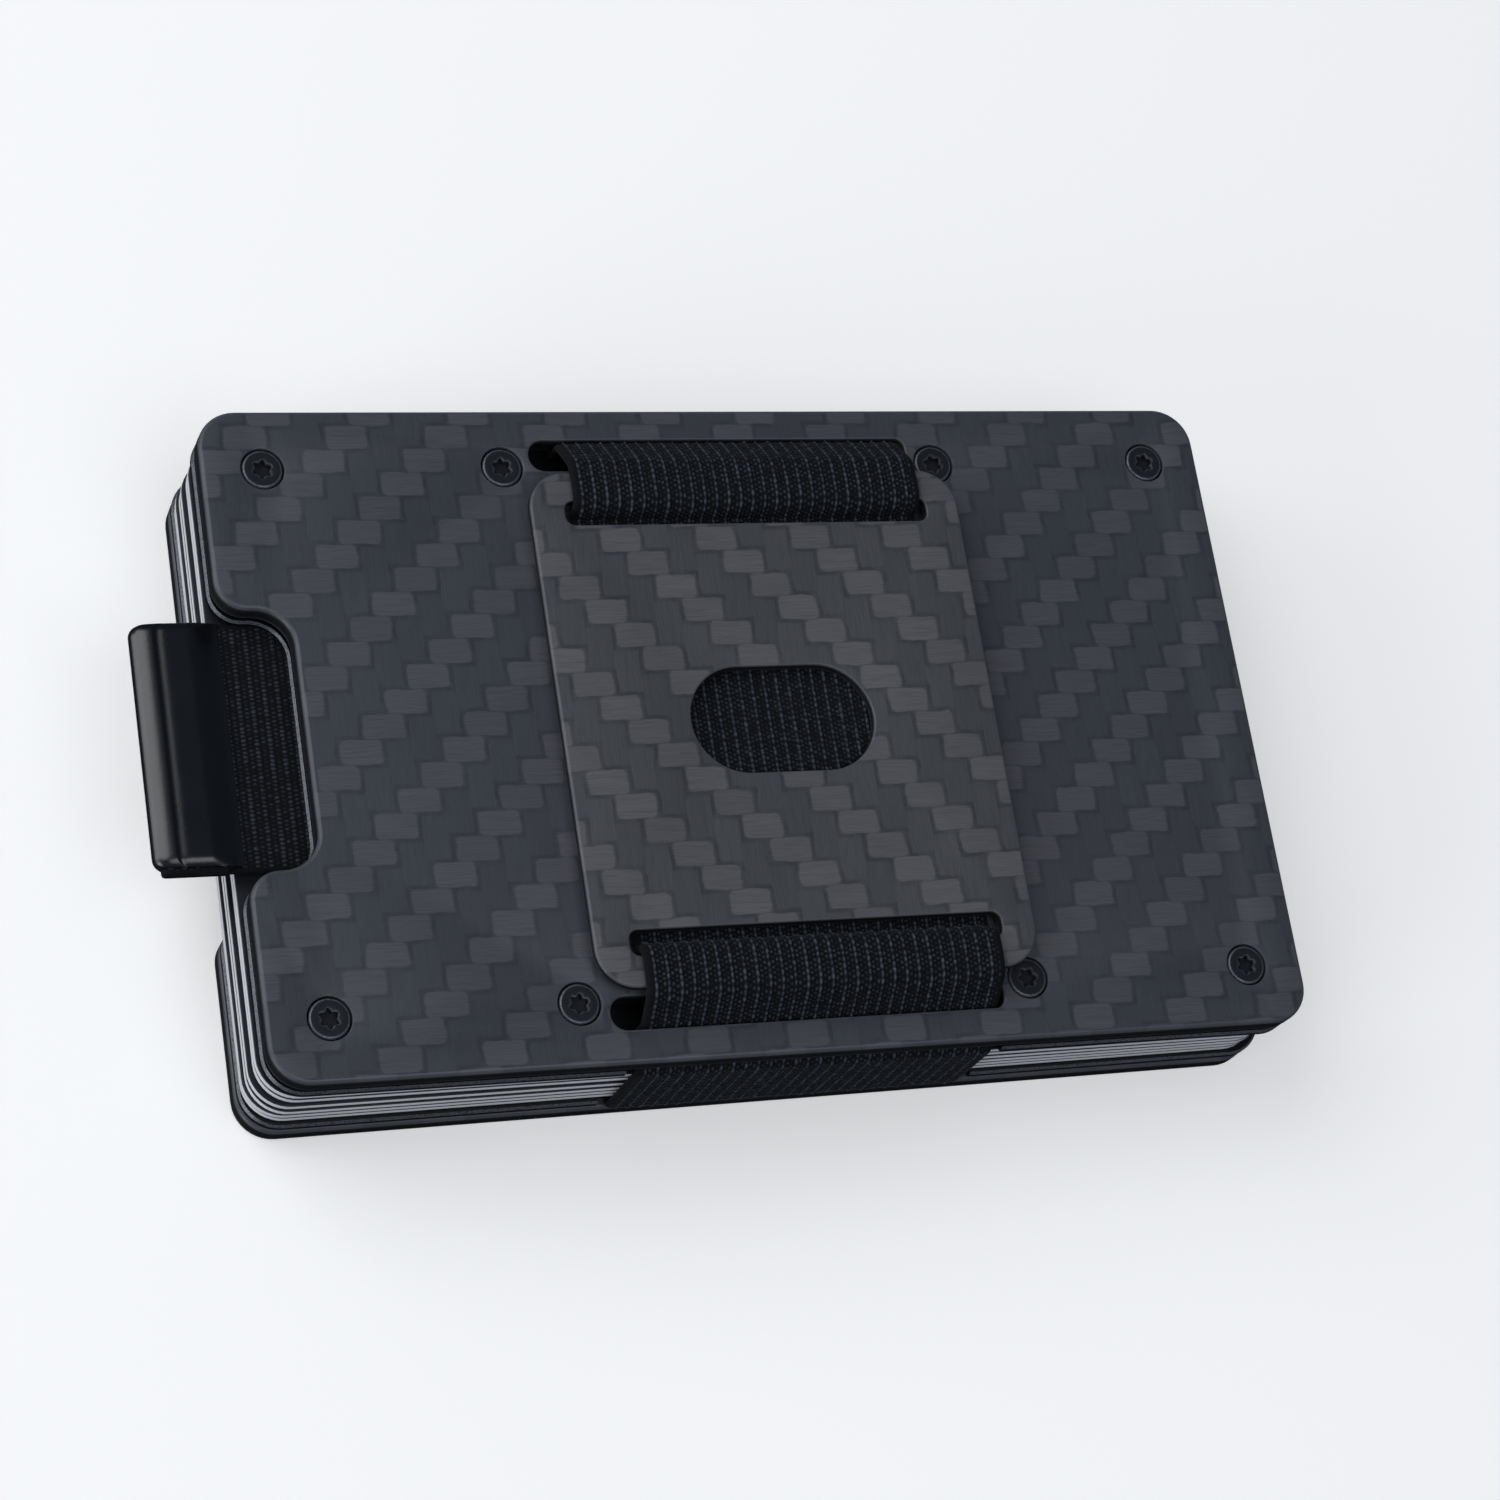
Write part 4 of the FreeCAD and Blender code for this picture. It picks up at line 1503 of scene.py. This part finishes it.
@dataclass
class PullTab:
    """The moulded tab: a rounded bead, a faint groove and a flap that thins onto the ribbon."""

    layout: Layout
    nose_x: float = -49.6
    heel_x: float = -43.4
    flap_x: float = -42.6
    width: float = 19.9
    centre_y: float = 0.75
    thick: float = 2.18
    mouth: float = 1.06
    wall: float = 0.56
    bead: float = 1.8
    corner: float = 0.9
    end_round: float = 0.75
    groove_at: float = 1.95
    groove_width: float = 0.46
    groove_depth: float = 0.10
    thin_from: float = 4.3
    thin_to: float = 0.36

    def profile(self) -> np.ndarray:
        """Draws the tab's section.

        Returns:
            A closed ring of (distance from the nose, height above the ribbon's middle) points.
        """
        tall, half = self.thick / 2, self.mouth / 2
        flap_end, heel = self.flap_x - self.nose_x, self.heel_x - self.nose_x
        bead = [(self.bead * (1 - math.cos(a)), tall * math.sin(a))
                for a in np.linspace(0, math.pi / 2, 17)]
        flap = []
        for u in np.linspace(self.bead, flap_end - 0.1, 48)[1:]:
            share = max(0.0, (u - self.thin_from) / (flap_end - self.thin_from))
            fall = (tall - self.thin_to) * share * share * (3 - 2 * share)
            groove = self.groove_depth * math.exp(-((u - self.groove_at) / self.groove_width) ** 2)
            flap.append((u, tall - fall - groove))
        tip = [(flap_end - 0.02, self.thin_to - 0.02), (flap_end, self.thin_to - 0.07),
               (flap_end - 0.03, self.thin_to - 0.12), (heel - 0.3, half)]
        inner = self.wall + half
        mouth = [(inner - half * math.sin(a), half * math.cos(a))
                 for a in np.linspace(0, math.pi, 9)]
        lower = [(heel, -half), (heel, -tall + 0.18), (heel - 0.06, -tall + 0.05),
                 (heel - 0.2, -tall)]
        return np.array(bead + flap + tip + mouth + lower + [(u, -v) for u, v in bead[:0:-1]])

    def dress(self, finish: bpy.types.Material) -> None:
        """Builds the tab's cover and gives it its finish.

        Args:
            finish: the black moulding.
        """
        section = self.profile()
        length = self.flap_x - self.nose_x
        steps = np.concatenate([np.linspace(0.0, 1.0, 9) ** 2 * self.corner,
                                [self.corner + 0.2]])
        half = self.width / 2
        spans = [(-half + d, d) for d in steps] + [(half - d, d) for d in reversed(steps)]
        kept = self.mouth / 2 + 0.06
        proud = np.maximum(np.abs(section[:, 1]) - kept, 0)
        rings = []
        for y, gap in spans:
            short = max(0.0, self.corner - gap)
            set_back = self.corner - math.sqrt(self.corner ** 2 - short ** 2)
            pinch = 0.7 * max(0.0, 1 - gap / self.end_round) ** 2
            ring = np.empty((len(section), 3))
            ring[:, 0] = self.flap_x - (length - section[:, 0]) * (1 - set_back / length)
            ring[:, 1] = self.centre_y + y
            ring[:, 2] = (self.layout.ribbon_mid + section[:, 1]
                          - np.sign(section[:, 1]) * proud * pinch)
            rings.append(ring)
        piece = finished(lofted(rings), "pull_tab_moulding", self.layout.on_front, 50.0)
        hand_over(piece, Slot.TAB, "pull_tab_cover", body=Body.TAB, finish=finish)


@dataclass
class FrameHardware:
    """The frame's own nodes that stay as they are and only take a finish."""

    plate: bpy.types.Material
    steel: bpy.types.Material

    def dress(self) -> None:
        """Gives each kept node its finish."""
        kept = {"front_inner_plate": self.plate, "back_inner_plate": self.plate,
                "front_standoffs": self.steel, "back_standoffs": self.steel,
                "ribbon_anchor_bar": self.steel}
        for name, finish in kept.items():
            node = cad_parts[name]
            node.data.materials.clear()
            node.data.materials.append(finish)
            LOG.info("%s: kept, with %s", name, finish.name)


@dataclass
class Studio:
    """The pale floor, the soft lights and the camera."""

    target: tuple[float, float, float] = (1.022, 0.03, 7.754)
    distance: float = 311.84
    azimuth: float = math.radians(-134.591)
    elevation: float = math.radians(63.094)
    roll: float = math.radians(38.591)
    lens: float = 91.878
    sensor: float = 36.0
    floor: Colour = (0.90, 0.90, 0.90)
    bounce: Colour = (0.46, 0.475, 0.51)
    mirrored: Colour = (0.05, 0.055, 0.07)
    self_lit: float = 0.36
    floor_level: float = -0.00002
    air: Colour = (0.15, 0.158, 0.175)
    mirrored_air: Colour = (0.05, 0.06, 0.08)

    def direction(self, azimuth: float, elevation: float) -> Vector:
        """The way from the wallet towards a place above it."""
        flat = math.cos(elevation)
        return Vector((flat * math.cos(azimuth), flat * math.sin(azimuth), math.sin(elevation)))

    def set_camera(self) -> None:
        """Makes the camera."""
        data = bpy.data.cameras.new("camera")
        data.lens = self.lens
        data.sensor_width = self.sensor
        data.clip_start = 0.01
        camera = bpy.data.objects.new("camera", data)
        towards = self.direction(self.azimuth, self.elevation)
        camera.location = (Vector(self.target) + towards * self.distance) * MM
        level = (-towards).to_track_quat("-Z", "Y")
        camera.rotation_mode = "QUATERNION"
        camera.rotation_quaternion = Quaternion(-towards, -self.roll) @ level
        bpy.context.scene.collection.objects.link(camera)
        bpy.context.scene.camera = camera

    def add_light(self, name: str, azimuth: float, elevation: float, reach: float, size: float,
                  power: float, colour: Colour) -> None:
        """Adds one soft square light that faces the wallet.

        Args:
            name: the light's name.
            azimuth: its compass direction from the wallet, in degrees from +X.
            elevation: its height above the horizon, in degrees.
            reach: its distance in metres.
            size: its side in metres.
            power: its power in watts.
            colour: its colour.
        """
        data = bpy.data.lights.new(name, "AREA")
        data.size = size
        data.energy = power
        data.color = colour
        light = bpy.data.objects.new(name, data)
        towards = self.direction(math.radians(azimuth), math.radians(elevation))
        light.location = towards * reach
        light.rotation_euler = towards.to_track_quat("Z", "Y").to_euler()
        bpy.context.scene.collection.objects.link(light)

    def lay_floor(self) -> None:
        """Lays a wide pale floor that stays even to the eye and throws little light back up."""
        data = bpy.data.meshes.new("floor")
        corners = ((-4, -4), (4, -4), (4, 4), (-4, 4))
        data.from_pydata([(x, y, self.floor_level) for x, y in corners],
                         [], [(0, 1, 2, 3)])
        floor = bpy.data.objects.new("floor", data)
        material = bpy.data.materials.new("studio_floor")
        material.use_nodes = True
        g = Graph(material.node_tree)
        shader = material.node_tree.nodes["Principled BSDF"]
        path = g.add("ShaderNodeLightPath").outputs
        seen = path["Is Camera Ray"]
        around = g.blend(path["Is Glossy Ray"], self.bounce, self.mirrored)
        inputs = {"Base Color": g.blend(seen, around, self.floor), "Roughness": 0.9,
                  "Specular IOR Level": 0.0, "Emission Color": (1.0, 1.0, 1.0, 1.0),
                  "Emission Strength": g.times(seen, self.self_lit)}
        for name, value in inputs.items():
            g.plug(value, shader.inputs[name])
        below = g.add("ShaderNodeNewGeometry").outputs["Backfacing"]
        either = g.add("ShaderNodeMixShader", {0: below, 1: shader.outputs[0],
                                               2: g.add("ShaderNodeBsdfTransparent").outputs[0]})
        g.plug(either.outputs[0],
               material.node_tree.nodes["Material Output"].inputs["Surface"])
        data.materials.append(material)
        bpy.context.scene.collection.objects.link(floor)

    def build(self) -> None:
        """Builds the whole studio."""
        self.set_camera()
        self.lay_floor()
        world = bpy.data.worlds.new("studio_air")
        world.use_nodes = True
        g = Graph(world.node_tree)
        path = g.add("ShaderNodeLightPath").outputs
        around = g.blend(path["Is Glossy Ray"], self.air, self.mirrored_air)
        g.plug(g.blend(path["Is Camera Ray"], around, self.floor),
               world.node_tree.nodes["Background"].inputs[0])
        bpy.context.scene.world = world
        bpy.context.scene.view_settings.view_transform = "Standard"
        self.add_light("key_softbox", 145, 47, 0.9, 0.72, 2.9, (0.955, 0.98, 1.0))
        self.add_light("fill_softbox", -75, 66, 1.0, 0.6, 1.9, (0.93, 0.96, 1.0))
        self.add_light("edge_softbox", -155, 14, 0.9, 0.45, 2.0, (0.95, 0.975, 1.0))
        self.add_light("rim_softbox", 165, 14, 0.8, 0.4, 0.9, (0.97, 0.98, 1.0))


def main() -> None:
    """Builds the wallet's looks in order."""
    logging.basicConfig(level=logging.INFO, format="%(name)s: %(message)s")
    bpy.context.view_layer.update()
    layout = Layout()
    groups = ShaderGroups()
    carbon = CarbonTwill("carbon_twill_panel", (2.04, 2.045), (0.17, 0.21)).build(groups)
    clip_carbon = CarbonTwill("carbon_twill_clip", (2.025, 2.05), (3.02, 0.1), mirrored=True,
                              weft=(0.140, 0.140, 0.150),
                              warp=(0.088, 0.091, 0.100)).build(groups)
    webbing_black = WovenBlack("elastic_webbing_black", (0.052, 0.064, 0.086),
                               (0.0012, 0.0018, 0.0036), 0.04).build(groups)
    ribbon_black = WovenBlack("pull_ribbon_black", (0.036, 0.042, 0.060),
                              (0.0008, 0.0014, 0.0030), 0.02).build(groups)
    screw_black = DarkMetal("black_oxide", (0.026, 0.029, 0.037), (0.17, 0.18, 0.20), 0.30,
                            0.45).build(groups)
    plate_black = DarkMetal("black_anodised", (0.007, 0.008, 0.011), (0.16, 0.17, 0.19), 0.32,
                            0.5).build(groups)
    steel = DarkMetal("zinc_steel", (0.36, 0.36, 0.37), (0.55, 0.55, 0.56), 0.32, 1.0).build(groups)
    moulding = MouldedPlastic("tab_black", (0.0006, 0.0015, 0.0032), 0.24).build(groups)
    whites = ((0.93, 0.94, 0.96), (0.91, 0.92, 0.95), (0.95, 0.95, 0.96))
    stocks = [LaminatedCard("card_white_%d" % (i + 1), white, (0.016, 0.018, 0.026), 0.76)
              .build(groups) for i, white in enumerate(whites)]
    relief = woven_relief_tree()
    panel = Panel(layout)
    panel.dress(carbon)
    ScrewSet(panel).dress(scattered_parts_tree(), screw_black)
    clip = MoneyClip(layout)
    clip.dress(clip_carbon)
    knit = Weave(relief, webbing_black, {
        "Column_Pitch": 0.345, "Course_Pitch": 0.40, "Rib_Spacing": 3.0, "Rib_Height": 0.24,
        "Rib_Solidity": 0.35, "Rib_Stretch": 0.8, "Bump_Height": 0.18, "Roughness": 0.15,
        "Unevenness": 0.5})
    Webbing(layout, panel, clip, knit).dress()
    CardStack(layout).dress(stocks)
    floats = Weave(relief, ribbon_black, {
        "Column_Pitch": 0.52, "Course_Pitch": 0.34, "Rib_Spacing": 2.0, "Rib_Height": 0.10,
        "Rib_Solidity": 0.1, "Rib_Stretch": 1.0, "Bump_Height": 0.08, "Roughness": 0.05,
        "Unevenness": 0.55})
    Ribbon(layout, floats).dress()
    PullTab(layout).dress(moulding)
    FrameHardware(plate_black, steel).dress()
    Studio().build()


if __name__ == "__main__":
    main()
